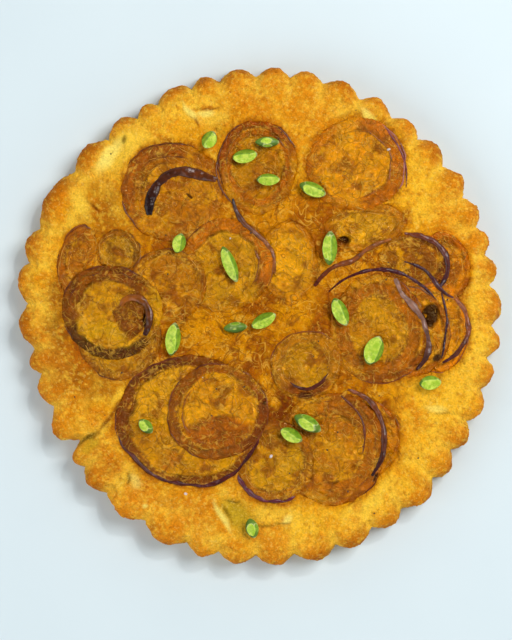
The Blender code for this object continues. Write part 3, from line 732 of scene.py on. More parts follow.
def paintCrust(mesh):
    x, y, z = corners(mesh)
    angle = np.arctan2(y, x)
    radius = np.hypot(x, y)
    inset = outline(angle) - radius
    lobe, flute = lobes(angle)
    lobe = np.minimum(lobe, 1)
    fluteShare = lattice(flute, 0 * flute, 0 * flute, 31)
    # Painted light: the crust turns paler and yellower towards +X, the side the light comes from, over random
    # clouds of tone; the pale patches below grow with it
    litSideAndTone = ease(0.45 + x / 300 + 0.6 * cloud(x, y, 24, 41))
    colour = mix(linear(crust["gold"]), linear(crust["yellow"]), litSideAndTone)
    colour = mix(colour, linear(crust["orange"]), 0.60 * ease(1.2 * cloud(x, y, 17, 42) - 0.05))
    lit = (0.40 + 0.35 * litSideAndTone) * ease(1.5 * cloud(x, y, 12, 43) - 0.1)
    colour = mix(colour, linear(crust["light"]), lit)
    valley = ease(1.1 * bump(inset - 15, 17) * (0.65 + 0.8 * cloud(x, y, 8, 53)))
    colour = mix(colour, linear(crust["light"]), 0.60 * valley)
    colour = mix(colour, linear(crust["crest"]), 0.75 * ease(1.8 * cloud(x, y, 6.5, 54) - 0.35))
    colour = patchTone(x, y, colour)
    raisedBy = (z - crustHeight(x, y, np.maximum(inset, 3.5))) * (z > 17) * (inset > 2)
    colour = mix(colour, linear(crust["crest"]), 0.65 * ease(1.3 * raisedBy - 0.1))
    colour = mix(colour, linear(crust["light"]), 0.30 * ease(-1.3 * raisedBy - 0.1))
    spots = 0.5 + 0.5 * cloud(x, y, 4.5, 44)
    reach = 7.5 + 6.0 * fluteShare + 3.0 * cloud(x, y, 5, 52)
    rim = ease(1.3 - inset / reach) * ease(1.5 * lobe) * (z > 8)
    colour = mix(colour, linear(crust["crest"]), 0.90 * rim)
    # The rim's browning is real; its heavier share towards the upper left, away from the light, is painted
    # shade
    northwest = ease((y - x) / 120)
    dark = ease(0.9 * fluteShare + 0.9 * spots + 0.6 * northwest - 0.70) * (z > 8)
    brown = 0.8 * ease(1.4 - 1.7 * inset / reach) * ease(1.6 * lobe) * dark
    colour = mix(colour, linear(crust["browned"]), brown)
    side = ease((16.5 - z) / 5) * (inset < 12)
    colour = mix(colour, linear(crust["browned"]), 0.3 * side)
    edge = bump(inset - 0.8, 2.4) * ease(0.3 + lobe) * (z > 8)
    colour = mix(colour, linear(crust["burntAndCrackShade"]), 0.25 * edge * spots * (0.3 + fluteShare))
    crease = (1 - lobe) ** 1.5 * ease((14 - inset) / 7) * (z > 10)
    colour = mix(colour, linear(crust["light"]), 0.60 * crease)
    _, covered = paintMarks(x, y, colour)
    soak = soakedShare(x, y) * (z > 12) * (1 - 0.8 * covered)
    colour = mix(colour, soakedTone(x, y), soak * 0.95)
    dome, own = grains(x, y, 2.4, 48)
    colour = colour * (0.95 + 0.09 * dome + 0.14 * (own - 0.5))[:, None]
    dome, own = grains(x, y, 1.5, 49)
    colour = mix(colour, linear(crust["light"]), (own > 0.80) * dome * 0.50 * (1 - 0.6 * soak))
    colour = mix(colour, linear(crust["browned"]), (own < 0.08) * dome * 0.50)
    colour = mix(colour, linear(crust["syrup"]), (own > 0.40) * (own < 0.50) * dome * 0.50 * soak)
    marked, _ = paintMarks(x, y, colour)
    colour = mix(colour, marked, 1.0 * (z > 10))
    setColour(mesh, "stain", colour * crust["glow"] * mix(np.ones(3), np.array(onion["thinGlaze"]), soak))
    setShare(mesh, "wet", soak)
    bare = onTop(len(slices), x, y) * (slant(mesh)[:, 2] > 0.2)
    crumbly = ease(0.35 + 1.3 * cloud(x, y, 9, 51))
    setShare(mesh, "crumbShare", bare * crumbly * (1 - 0.85 * soak) * (inset > 1.2) * (1 - 0.7 * covered))
    setShare(mesh, "lipShare", 0.10 * bare * soak)
    setShare(mesh, "speckShare", 0.35 * bare * (inset > 6))


def wanderOf(index, x, y):  # how far a slice's rings stray from true ovals, in millimetres
    wide = 1.3 * softNoise(x, y, 0, 12, 61 + index)
    return wide + 0.6 * softNoise(x, y, 0, 4.5, 62) + 0.3 * softNoise(x, y, 0, 2, 60)


def strength(index, angle, seed):  # thin lines fade and come back, and end where the slice melts
    there = ease(0.50 + 1.1 * softNoise(3.1 * np.cos(angle), 3.1 * np.sin(angle), 0, 1, seed + 5 * index))
    return there * (1 - 0.9 * meltShare(index, angle))


def meltShare(index, angle):
    spans = onion["melts"].get(slices[index]["name"], ())
    return np.clip(sum((window(angle, *span, 30) for span in spans), 0 * angle), 0, 1)


def fibres(index, rho, angle, along, across, seed):  # threads that follow a slice's rings
    radius = sliceRadius(index)
    spin = radius / along
    return softNoise(spin * np.cos(angle), spin * np.sin(angle), rho * radius / across, 1, seed + index)


def mergeShare(index, rho, angle, x, y):  # 1 where a slice's edge melts into the crust round it
    reach = 4.5 + 2.5 * softNoise(x, y, 0, 5, 68)
    near = ease(1.15 - (1 - rho) * sliceRadius(index) / reach)
    return near * meltShare(index, angle)


def sliceHeight(index, rho, angle, x, y):
    spec = slices[index]
    radius = sliceRadius(index)
    inside = (1 - rho) * radius
    drop = 0.75 + 0.35 * softNoise(x, y, 0, 6, 58)
    height = sliceTop(index) - 0.25 - drop * (1 - ease((inside + 0.2) / 1.8)) + 0 * rho
    wander = wanderOf(index, x, y)
    outer = 1.0
    for end in spec["ends"]:
        past = (end - rho) * radius + wander
        height = height - onion["bandDrop"] * ease(past / 1.6 + 0.5)
        across = np.clip((outer - rho + wander / radius) / (outer - end), 0, 1)
        height = height + 0.32 * np.sin(math.pi * across)
        outer = end
    for share, width, _, start, end in spec["skins"]:
        away = (rho - share) * radius + 0.7 * wander * (share < 0.9)
        there = window(angle, start, end) * strength(index, angle, 63)
        height = height + onion["skinHeight"] * bump(away, width) * there
    dome, _ = grains(x, y, 1.3, 64)
    for share, width, start, end in spec["lips"]:
        away = (rho - share) * radius + 0.8 * wander
        there = window(angle, start, end) * strength(index, angle, 64)
        height = height + onion["lipHeight"] * bump(away, width) * there * (0.5 + 0.7 * dome)
    flesh = ease((spec["ends"][-1] - rho) * radius / 2)
    height = height + flesh * (0.55 * softNoise(x, y, 0, 5.5, 65) + 0.30 * softNoise(x, y, 0, 2.3, 66))
    height = height + 0.16 * fibres(index, rho, angle, 4.0, 1.1, 67) + 0.10 * softNoise(x, y, 0, 1.5, 69)
    height = height - 0.45 * mergeShare(index, rho, angle, x, y)
    for hx, hy, length, width, turn, deepest, _ in onion["pits"]:
        height = height - deepest * pitShare(x, y, hx, hy, length, width, turn)
    return np.minimum(height, sliceTop(index) + 0.25) - sinkUnder(index, x, y)


def pitShare(x, y, hx, hy, length, width, turn):
    u, v = turnedTo(x, y, (hx, hy), turn)
    away = np.hypot(u / (length / 2), v / (width / 2))
    return ease(2.5 * (1.2 - away + 0.2 * softNoise(x, y, 0, 2.5, 59)))


def paintSlice(index, mesh):
    spec = slices[index]
    x, y, z = corners(mesh)
    rho, angle = inSlice(index, x, y)
    radius = sliceRadius(index)
    first, second = (linear(code) for code in spec["flesh"])
    colour = mix(first, second, ease(0.5 + 1.1 * cloud(x, y, 8, 71 + index)))
    pool = ease(1.6 * cloud(x, y, 7, 72 + index) - 0.1)
    colour = mix(colour, linear(onion["amber"]), 0.75 * pool)
    colour = mix(colour, linear(onion["brightFlesh"]), 0.70 * ease(1.7 * cloud(x, y, 4.2, 76 + index) - 0.35))
    wander = wanderOf(index, x, y)
    thread = fibres(index, rho, angle, 4.0, 1.1, 67)
    fine = fibres(index, rho, angle, 2.2, 0.8, 73)
    for outer, inner, code, start, end in spec["bands"]:
        fromEdge = (outer - rho) * radius + 0.6
        pastEnd = (rho - inner) * radius + wander
        there = window(angle, start, end, 22)
        share = ease(fromEdge / 0.9) * ease(pastEnd / 1.2 + 0.3) * there
        clear = 1 + 0.26 * cloud(x, y, 5, 77 + index) + 0.14 * thread
        colour = mix(colour, linear(code) * clear[:, None], 0.94 * share)
        line = bump(pastEnd, 1.3) * there * strength(index, angle, 78) * (inner > 0.05)
        colour = mix(colour, linear(code) * 0.32, 0.85 * line)
        shine = bump(pastEnd + 1.1, 1.0) * there * strength(index, angle, 83) * (inner > 0.05)
        colour = mix(colour, linear(onion["lip"]), 0.50 * shine)
    colour = colour * (1 + 0.12 * thread + 0.14 * fine)[:, None]
    dome, own = grains(x, y, 1.15, 74)
    grainy = 0 * rho
    for share, width, start, end in spec["lips"]:
        away = (rho - share) * radius + 0.8 * wander
        there = window(angle, start, end) * strength(index, angle, 64)
        grainy = np.maximum(grainy, bump(away, width * 1.1) * there)
    patch = ease(1.6 * cloud(x, y, 6.5, 75) - 0.35) * ease((spec["ends"][-1] - rho) * radius / 1.5) * 0.55
    grainy = np.maximum(grainy, patch)
    colour = mix(colour, linear(onion["lip"]), grainy * (0.10 + 0.70 * dome * (own > 0.45)))
    # Painted shade in the crevices between the pale grains
    colour = mix(colour, linear(onion["creviceShade"]), grainy * (own < 0.30) * 0.6)
    for share, width, code, start, end in spec["skins"]:
        away = (rho - share) * radius + 0.7 * wander * (share < 0.9)
        thick = width > onion["thickSkin"]
        there = window(angle, start, end) * (1 if thick else strength(index, angle, 63))
        broad = 0.7 + 0.6 * strength(index, angle, 79)
        colour = mix(colour, linear(code), 0.9 * bump(away / broad, width * 1.1) * there)
        if thick:  # purple, with a painted lilac sheen, a highlight, along its inner side
            sheen = bump(away + width * 0.5, 0.9) * strength(index, angle, 80)
            colour = mix(colour, linear(onion["lilac"]), 0.5 * sheen * there * (own > 0.4))
    plain = 0 * rho
    # The dents painted dark, partly as shade in the hollow
    for hx, hy, length, width, turn, _, code in onion["pits"]:
        inPit = pitShare(x, y, hx, hy, length, width, turn)
        colour = mix(colour, linear(code), 0.95 * inPit)
        plain = np.maximum(plain, inPit)
    # Share of the painted glint threads that the material lays on
    setShare(mesh, "threaded", 0.85 * (1 - plain))
    grainy = grainy * (1 - plain)
    merge = mergeShare(index, rho, angle, x, y)
    colour = mix(colour, soakedTone(x, y), 0.85 * merge)
    # Painted shade: darker where the slice's surface lies low, at its rolled edge and in dents
    under = ease((19 - z) / 1.5)
    colour = colour * (1 - 0.35 * under)[:, None]
    setColour(mesh, "stain", colour * onion["glaze"])
    setShare(mesh, "wet", 1 - 0.7 * grainy)
    bare = onTop(index, x, y) * (z > 17.5) * (slant(mesh)[:, 2] > 0.4)
    setShare(mesh, "crumbShare", 0 * bare)
    setShare(mesh, "lipShare", bare * grainy)
    setShare(mesh, "speckShare", bare)


def makeSlice(index, material):
    spec = slices[index]
    radius = sliceRadius(index)
    steps = max(64, round(fullTurn * radius / onion["meshStep"]))
    rows = round(radius / onion["meshStep"])
    angle = np.arange(steps) * fullTurn / steps

    def ring(share):
        u = spec["half"][0] * share * unevenness(index, angle) * np.cos(angle)
        v = spec["half"][1] * share * unevenness(index, angle) * np.sin(angle)
        return fromSlice(index, u, v)

    rings = [inFrame(*ring(share), onion["floor"]) for share in (0.5, 0.98)]
    edge = inFrame(*ring(1.0), onion["floor"] + 0.4)
    top = sliceHeight(index, 1.0 + 0 * angle, angle, *ring(1.0))
    for share in (0.0, 0.5):
        layer = edge.copy()
        layer[:, 2] = edge[:, 2] * (1 - share) + (top - 0.5) * share
        rings.append(layer)
    for k in range(rows):
        share = 1 - k / rows
        x, y = ring(share)
        rings.append(inFrame(x, y, sliceHeight(index, share + 0 * angle, angle, x, y)))
    obj = ringsMesh(spec["name"].replace("onion", "slice"), rings)
    obj.data.materials.append(material)
    paintSlice(index, obj.data)
    return obj


def calc(tree, operation, first, second=None, third=None):  # a Math node on sockets or plain numbers
    settings, links = {"operation": operation}, {}
    for place, value in enumerate((first, second, third)):
        if isinstance(value, (int, float)):
            settings[f"={place}"] = value
        elif value is not None:
            links[place] = value
    return addNode(tree, "ShaderNodeMath", settings, links).outputs[0]


def plus(tree, first, second):
    return calc(tree, "ADD", first, second)


def minus(tree, first, second):
    return calc(tree, "SUBTRACT", first, second)


def times(tree, first, second):
    return calc(tree, "MULTIPLY", first, second)


def named(tree, name):
    return addNode(tree, "GeometryNodeInputNamedAttribute", {"data_type": "FLOAT", "=Name": name}).outputs[0]


def finishTree(tree, geometry, material, result):
    whole = addNode(tree, "GeometryNodeRealizeInstances", {}, {0: geometry})
    shaded = addNode(tree, "GeometryNodeSetShadeSmooth", {"=Shade Smooth": True}, {0: whole.outputs[0]})
    dressed = addNode(tree, "GeometryNodeSetMaterial", {}, {0: shaded.outputs[0], "Material": material})
    tree.links.new(dressed.outputs[0], result.inputs[0])


def reliefTree():  # lumps and two sizes of baked grains, pushed out along the crust's own normal
    tree, given, result = newTree("crustRelief", (
        ("Lump Size", "NodeSocketFloat", 0.005), ("Lump Height", "NodeSocketFloat", 0.001),
        ("Grain Size", "NodeSocketFloat", 0.0025), ("Grain Height", "NodeSocketFloat", 0.0006),
        ("Fine Size", "NodeSocketFloat", 0.0013), ("Fine Height", "NodeSocketFloat", 0.0003),
        ("Material", "NodeSocketMaterial", None)))
    place = addNode(tree, "GeometryNodeInputPosition").outputs[0]
    noise = addNode(tree, "ShaderNodeTexNoise", {"=Detail": 2.0},
                    {"Vector": place, "Scale": calc(tree, "DIVIDE", 1.0, given.outputs["Lump Size"])})
    total = times(tree, minus(tree, noise.outputs[0], 0.5), given.outputs["Lump Height"])
    for size, height in (("Grain Size", "Grain Height"), ("Fine Size", "Fine Height")):
        cell = addNode(tree, "ShaderNodeTexVoronoi", {"feature": "SMOOTH_F1", "=Smoothness": 0.35},
                       {"Vector": place, "Scale": calc(tree, "DIVIDE", 1.0, given.outputs[size])})
        dome = minus(tree, 0.42, cell.outputs["Distance"])
        total = plus(tree, total, times(tree, dome, given.outputs[height]))
    total = times(tree, total, named(tree, "rough"))
    normal = addNode(tree, "GeometryNodeInputNormal").outputs[0]
    offset = addNode(tree, "ShaderNodeVectorMath", {"operation": "SCALE"}, {0: normal, "Scale": total})
    moved = addNode(tree, "GeometryNodeSetPosition", {},
                    {"Geometry": given.outputs["Geometry"], "Offset": offset.outputs[0]})
    finishTree(tree, moved.outputs[0], given.outputs["Material"], result)
    return tree


def ribbonTree():  # flattened ribbons along any number of paths, with uneven surfaces
    tree, given, result = newTree("onionRibbon", (
        ("Sides", "NodeSocketInt", 10), ("Flatness", "NodeSocketFloat", 0.6),
        ("Uneven Size", "NodeSocketFloat", 0.002), ("Uneven Height", "NodeSocketFloat", 0.0002),
        ("Material", "NodeSocketMaterial", None)))
    curve = addNode(tree, "GeometryNodeMeshToCurve", {}, {0: given.outputs["Geometry"]})
    level = addNode(tree, "GeometryNodeSetCurveNormal", {"mode": "Z_UP"}, {"Curve": curve.outputs[0]})
    ring = addNode(tree, "GeometryNodeCurvePrimitiveCircle", {"=Radius": 1.0},
                   {"Resolution": given.outputs["Sides"]})
    scale = addNode(tree, "ShaderNodeCombineXYZ", {"=X": 1.0, "=Z": 1.0}, {"Y": given.outputs["Flatness"]})
    flat = addNode(tree, "GeometryNodeTransform", {},
                   {"Geometry": ring.outputs[0], "Scale": scale.outputs[0]})
    skin = addNode(tree, "GeometryNodeCurveToMesh", {"=Fill Caps": True},
                   {"Curve": level.outputs[0], "Profile Curve": flat.outputs[0],
                    "Scale": named(tree, "halfWidth")})
    place = addNode(tree, "GeometryNodeInputPosition").outputs[0]
    noise = addNode(tree, "ShaderNodeTexNoise", {"=Detail": 3.0},
                    {"Vector": place, "Scale": calc(tree, "DIVIDE", 1.0, given.outputs["Uneven Size"])})
    lift = times(tree, minus(tree, noise.outputs[0], 0.5), given.outputs["Uneven Height"])
    normal = addNode(tree, "GeometryNodeInputNormal").outputs[0]
    offset = addNode(tree, "ShaderNodeVectorMath", {"operation": "SCALE"}, {0: normal, "Scale": lift})
    moved = addNode(tree, "GeometryNodeSetPosition", {},
                    {"Geometry": skin.outputs[0], "Offset": offset.outputs[0]})
    finishTree(tree, moved.outputs[0], given.outputs["Material"], result)
    return tree


def kernelTree():  # a grain along X with two cut faces; facet marks how far a cut went in, ridge which one
    tree, given, result = newTree("pistachioKernel", (
        ("Length", "NodeSocketFloat", 0.014), ("Width", "NodeSocketFloat", 0.007),
        ("Height", "NodeSocketFloat", 0.006), ("Roundness", "NodeSocketFloat", 0.78),
        ("Cut Level", "NodeSocketFloat", 0.3), ("Cut Roll", "NodeSocketFloat", 0.2),
        ("Cut Pitch", "NodeSocketFloat", 0.1), ("Side Level", "NodeSocketFloat", 0.7),
        ("Side Roll", "NodeSocketFloat", -0.9), ("Furrow", "NodeSocketFloat", 0.05),
        ("Material", "NodeSocketMaterial", None)))
    ball = addNode(tree, "GeometryNodeMeshUVSphere", {"=Segments": 40, "=Rings": 28, "=Radius": 1.0})
    place = addNode(tree, "GeometryNodeInputPosition").outputs[0]
    px, py, along = addNode(tree, "ShaderNodeSeparateXYZ", {}, {0: place}).outputs
    share = times(tree, plus(tree, along, 1.0), math.pi / 2)
    arch = calc(tree, "MAXIMUM", calc(tree, "SINE", share), 0.0)
    reach = calc(tree, "POWER", arch, given.outputs["Roundness"])
    ring = calc(tree, "SQRT", plus(tree, times(tree, px, px), times(tree, py, py)))
    swell = calc(tree, "DIVIDE", reach, calc(tree, "MAXIMUM", ring, 0.00001))
    across = times(tree, px, swell)
    up = times(tree, py, swell)
    chips = addNode(tree, "ShaderNodeTexNoise", {"=Scale": 1.7, "=Detail": 2.0})
    chip = times(tree, minus(tree, chips.outputs[0], 0.5), given.outputs["Furrow"])
    plane = plus(tree, given.outputs["Cut Level"], times(tree, across, given.outputs["Cut Roll"]))
    plane = plus(tree, plane, times(tree, along, given.outputs["Cut Pitch"]))
    plane = plus(tree, plane, times(tree, chip, 4.0))
    side = plus(tree, given.outputs["Side Level"], times(tree, across, given.outputs["Side Roll"]))
    cut = minus(tree, up, calc(tree, "MINIMUM", plane, side))
    top = calc(tree, "SMOOTH_MIN", calc(tree, "SMOOTH_MIN", up, plane, 0.05), side, 0.05)
    ridge = minus(tree, plane, side)
    x = times(tree, times(tree, along, 0.5), given.outputs["Length"])
    y = times(tree, times(tree, across, 0.5), given.outputs["Width"])
    z = times(tree, times(tree, top, 0.5), given.outputs["Height"])
    shape = addNode(tree, "ShaderNodeCombineXYZ", {}, {0: x, 1: y, 2: z})
    stored = ball.outputs[0]
    for name, value in (("facet", cut), ("ridge", ridge), ("along", along), ("across", across)):
        stored = addNode(tree, "GeometryNodeStoreNamedAttribute",
                         {"data_type": "FLOAT", "domain": "POINT", "=Name": name},
                         {"Geometry": stored, "Value": value}).outputs[0]
    moved = addNode(tree, "GeometryNodeSetPosition", {}, {"Geometry": stored, "Position": shape.outputs[0]})
    finishTree(tree, moved.outputs[0], given.outputs["Material"], result)
    return tree


def scatterTree():  # many small grains of one kind on the finished top, as thick as a share on it says
    tree, given, result = newTree("topScatter", (
        ("Top", "NodeSocketCollection", None), ("Share Name", "NodeSocketString", "crumbShare"),
        ("Density", "NodeSocketFloat", 100000.0), ("Least", "NodeSocketFloat", 0.0006),
        ("Most", "NodeSocketFloat", 0.0014), ("Flatness", "NodeSocketFloat", 0.7),
        ("Sink", "NodeSocketFloat", 0.0003), ("Facets", "NodeSocketInt", 1),
        ("Seed", "NodeSocketInt", 1), ("Material", "NodeSocketMaterial", None)))
    top = addNode(tree, "GeometryNodeCollectionInfo", {}, {"Collection": given.outputs["Top"]})
    top = addNode(tree, "GeometryNodeRealizeInstances", {}, {0: top.outputs[0]})
    share = addNode(tree, "GeometryNodeInputNamedAttribute", {"data_type": "FLOAT"},
                    {"Name": given.outputs["Share Name"]}).outputs[0]
    points = addNode(tree, "GeometryNodeDistributePointsOnFaces", {}, {
        "Mesh": top.outputs[0], "Seed": given.outputs["Seed"],
        "Density": times(tree, given.outputs["Density"], share)})
    down = addNode(tree, "ShaderNodeVectorMath", {"operation": "SCALE"},
                   {0: points.outputs["Normal"], "Scale": times(tree, given.outputs["Sink"], -1.0)})
    sunk = addNode(tree, "GeometryNodeSetPosition", {},
                   {"Geometry": points.outputs[0], "Offset": down.outputs[0]})
    turn = addNode(tree, "FunctionNodeRandomValue", {"data_type": "FLOAT_VECTOR", "=Max": (0.9, 0.9, 6.28)},
                   {"Seed": given.outputs["Seed"]})
    lean = addNode(tree, "FunctionNodeRotateRotation", {"rotation_space": "LOCAL"},
                   {0: points.outputs["Rotation"], 1: turn.outputs[0]})
    size = addNode(tree, "FunctionNodeRandomValue", {"data_type": "FLOAT"}, {
        "Min": given.outputs["Least"], "Max": given.outputs["Most"], "Seed": given.outputs["Seed"]})
    longer = addNode(tree, "FunctionNodeRandomValue", {"data_type": "FLOAT", "=2": 0.65, "=3": 1.5},
                     {"Seed": plus(tree, given.outputs["Seed"], 7)})
    half = times(tree, size.outputs[1], 0.5)
    scale = addNode(tree, "ShaderNodeCombineXYZ", {}, {
        0: times(tree, half, longer.outputs[1]), 1: half,
        2: times(tree, half, given.outputs["Flatness"])})
    grain = addNode(tree, "GeometryNodeMeshIcoSphere", {"=Radius": 1.0},
                    {"Subdivisions": given.outputs["Facets"]})
    placed = addNode(tree, "GeometryNodeInstanceOnPoints", {}, {
        "Points": sunk.outputs[0], "Instance": grain.outputs[0],
        "Rotation": lean.outputs[0], "Scale": scale.outputs[0]})
    tone = addNode(tree, "FunctionNodeRandomValue", {"data_type": "FLOAT"},
                   {"Seed": plus(tree, given.outputs["Seed"], 3)})
    toned = addNode(tree, "GeometryNodeStoreNamedAttribute",
                    {"data_type": "FLOAT", "domain": "INSTANCE", "=Name": "tone"},
                    {"Geometry": placed.outputs[0], "Value": tone.outputs[1]})
    finishTree(tree, toned.outputs[0], given.outputs["Material"], result)
    return tree


def attribute(tree, name, output="Fac"):
    return addNode(tree, "ShaderNodeAttribute", {"attribute_name": name}).outputs[output]


def noiseAt(tree, millimetres, detail=3.0, distortion=0.0, seed=0.0):
    place = addNode(tree, "ShaderNodeTexCoord").outputs["Object"]
    moved = addNode(tree, "ShaderNodeMapping", {"=Location": (seed, 0.37 * seed, 0)}, {0: place})
    return addNode(tree, "ShaderNodeTexNoise", {
        "=Scale": metre / millimetres, "=Detail": detail, "=Distortion": distortion},
        {0: moved.outputs[0]}).outputs[0]


def cellsAt(tree, millimetres):
    place = addNode(tree, "ShaderNodeTexCoord").outputs["Object"]
    return addNode(tree, "ShaderNodeTexVoronoi", {"=Scale": metre / millimetres}, {0: place}).outputs[0]


def ranged(tree, value, fromLow, fromHigh, toLow, toHigh, smooth=False):
    return addNode(tree, "ShaderNodeMapRange", {
        "interpolation_type": "SMOOTHSTEP" if smooth else "LINEAR",
        "=From Min": fromLow, "=From Max": fromHigh, "=To Min": toLow, "=To Max": toHigh},
        {"Value": value}).outputs[0]


def blend(tree, first, second, share):  # colours as hex or sockets
    settings, links = {"data_type": "RGBA"}, {0: share}
    for place, value in ((6, first), (7, second)):
        if isinstance(value, str):
            settings[f"={place}"] = rgba(value)
        else:
            links[place] = value
    return addNode(tree, "ShaderNodeMix", settings, links).outputs[2]


def scaleColour(tree, colour, share):
    scaled = addNode(tree, "ShaderNodeVectorMath", {"operation": "SCALE"}, {0: colour, "Scale": share})
    return scaled.outputs[0]


def raised(tree, shader, height, strength, millimetres):
    relief = addNode(tree, "ShaderNodeBump", {"=Strength": strength, "=Distance": millimetres / metre},
                     {"Height": height})
    tree.links.new(relief.outputs[0], shader.inputs["Normal"])


def dress(tree, shader, looks):  # each look is a socket to link, a hex colour or a plain value
    for name, look in looks.items():
        if isinstance(look, bpy.types.NodeSocket):
            tree.links.new(look, shader.inputs[name])
        else:
            shader.inputs[name].default_value = rgba(look) if isinstance(look, str) else look


syrupTint = "#FFD890"  # what syrup and butter send back in their highlights


def withGlintsAndCreaseShade(tree, colour, amount):  # crinkled pale threads painted as glints on the glaze, which also raise the bump, and a few dark creases painted as shade
    glintThreads = 0
    for millimetres, seed, width, share in ((8.0, 2.7, 0.040, 0.60), (5.0, 6.1, 0.045, 0.55)):
        away = calc(tree, "ABSOLUTE", minus(tree, noiseAt(tree, millimetres, 1.0, 1.0, seed), 0.5))
        line = ranged(tree, away, 0, width, share, 0, True)
        there = ranged(tree, noiseAt(tree, 8.0, 2.0, 0, seed + 3), 0.47, 0.60, 0, 1)
        line = times(tree, times(tree, line, there), amount)
        # Painted highlight: pale glint lines
        colour = blend(tree, colour, "#E8AE3C", line)
        glintThreads = plus(tree, line, glintThreads)
    # Painted shade: dark creases
    crease = calc(tree, "ABSOLUTE", minus(tree, noiseAt(tree, 10.0, 1.0, 1.2, 9.4), 0.5))
    crease = times(tree, ranged(tree, crease, 0, 0.035, 0.60, 0, True), amount)
    return blend(tree, colour, "#6A2E06", crease), glintThreads


def crustMaterial():
    # Baked maize crust: an open golden crumb, matt where dry and a little glossy where syrup soaked in
    material, tree, shader = newMaterial("bakedMaizeCrust")
    wet = attribute(tree, "wet")
    dry = minus(tree, 1.0, wet)
    blotch = noiseAt(tree, 2.4)
    grit = cellsAt(tree, 1.0)
    fine = noiseAt(tree, 0.9, 3.0)
    # Tone follows the same noises as the bump: rises lighter, the hollows between grains darker, painted
    # shade over the crumb's own tone
    tone = times(tree, ranged(tree, grit, 0, 0.8, 1.10, 0.88), ranged(tree, blotch, 0.3, 0.7, 0.90, 1.10))
    tone = times(tree, tone, ranged(tree, fine, 0.3, 0.7, 0.90, 1.12))
    colour = scaleColour(tree, attribute(tree, "stain", "Color"), tone)
    fleck = times(tree, ranged(tree, noiseAt(tree, 1.4, 2.0, 0, 3.1), 0.58, 0.68, 0, 0.30), dry)
    colour = blend(tree, colour, "#F6CE66", fleck)
    # Painted glint threads and crease shade where syrup soaked in
    colour, _ = withGlintsAndCreaseShade(tree, colour, wet)
    height = minus(tree, blotch, times(tree, grit, 0.6))
    height = plus(tree, height, times(tree, fine, 0.50))
    raised(tree, shader, height, 0.85, 0.8)
    dress(tree, shader, {
        "Base Color": colour, "Roughness": ranged(tree, wet, 0, 1, 0.78, 0.22), "IOR": 1.40,
        "Specular IOR Level": 0.20, "Specular Tint": syrupTint})
    return material


def crumbMaterial():
    # Loose and half-loose crumbs: the crust's own colour, each scaled at random from a little darker to a
    # little lighter
    material, tree, shader = newMaterial("crustCrumbs")
    tone = ranged(tree, attribute(tree, "tone"), 0, 1, 0.72, 1.06)
    colour = scaleColour(tree, attribute(tree, "stain", "Color"), tone)
    raised(tree, shader, noiseAt(tree, 0.6, 2.0), 0.6, 0.3)
    dress(tree, shader, {"Base Color": colour, "Roughness": 0.85, "IOR": 1.40, "Specular IOR Level": 0.12})
    return material


def onionMaterial():
    # Caramelised onion: soft, half-clear flesh with fine fibres, under a glaze of syrup, with painted glint
    # threads and painted shade in creases
    material, tree, shader = newMaterial("caramelisedOnion")
    wet = attribute(tree, "wet")
    fold = noiseAt(tree, 4.2, 2.0, 1.0)
    fibre = noiseAt(tree, 1.7, 3.0, 0.8)
    # Tone follows the same noises as the bump: raised folds and fibres are lighter and their hollows darker,
    # painted shade over the flesh's own mottling
    colour = scaleColour(tree, attribute(tree, "stain", "Color"), ranged(tree, fibre, 0.3, 0.7, 0.86, 1.12))
    colour = scaleColour(tree, colour, ranged(tree, fold, 0.35, 0.65, 0.88, 1.16))
    colour, glintThreads = withGlintsAndCreaseShade(tree, colour, attribute(tree, "threaded"))
    height = plus(tree, times(tree, fold, 2.6), times(tree, fibre, 0.8))
    height = plus(tree, height, times(tree, glintThreads, 0.9))
    raised(tree, shader, height, 1.0, 1.0)
    dress(tree, shader, {
        "Base Color": colour, "Roughness": ranged(tree, wet, 0, 1, 0.38, 0.10), "IOR": 1.42,
        "Specular IOR Level": 0.50, "Specular Tint": syrupTint, "Subsurface Weight": 0.08,
        "Subsurface Radius": (1.0, 0.45, 0.12), "Subsurface Scale": 0.002})
    return material


def skinMaterial():
    # Dark outer layers: burnt purple-brown skin with a painted lilac shine, a highlight, in places
    material, tree, shader = newMaterial("darkOnionSkin")
    patch = noiseAt(tree, 3.2, 3.0, 0.5)
    colour = scaleColour(tree, attribute(tree, "stain", "Color"), ranged(tree, patch, 0.3, 0.7, 0.55, 1.60))
    # Painted highlight: lilac sheen where a skin's lilac share allows
    sheen = times(tree, ranged(tree, noiseAt(tree, 2.2, 4.0, 0.6, 2.0), 0.58, 0.74, 0, 0.30),
                 attribute(tree, "lilac"))
    colour = blend(tree, colour, "#A07A80", sheen)
    raised(tree, shader, noiseAt(tree, 1.6, 3.0), 0.6, 0.5)
    dress(tree, shader, {"Base Color": colour, "Roughness": 0.22, "Specular IOR Level": 0.35})
    return material


def fibreMaterial():
    # Pale onion fibres and grains of sugar on the edges of the layers: half-clear, catching the light
    material, tree, shader = newMaterial("paleOnionFibre")
    tone = ranged(tree, attribute(tree, "tone"), 0, 1, 0.55, 1.0)
    colour = scaleColour(tree, blend(tree, "#C07A1E", "#E6B04A", noiseAt(tree, 3.0)), tone)
    dress(tree, shader, {"Base Color": colour, "Roughness": 0.30, "Specular Tint": syrupTint})
    return material


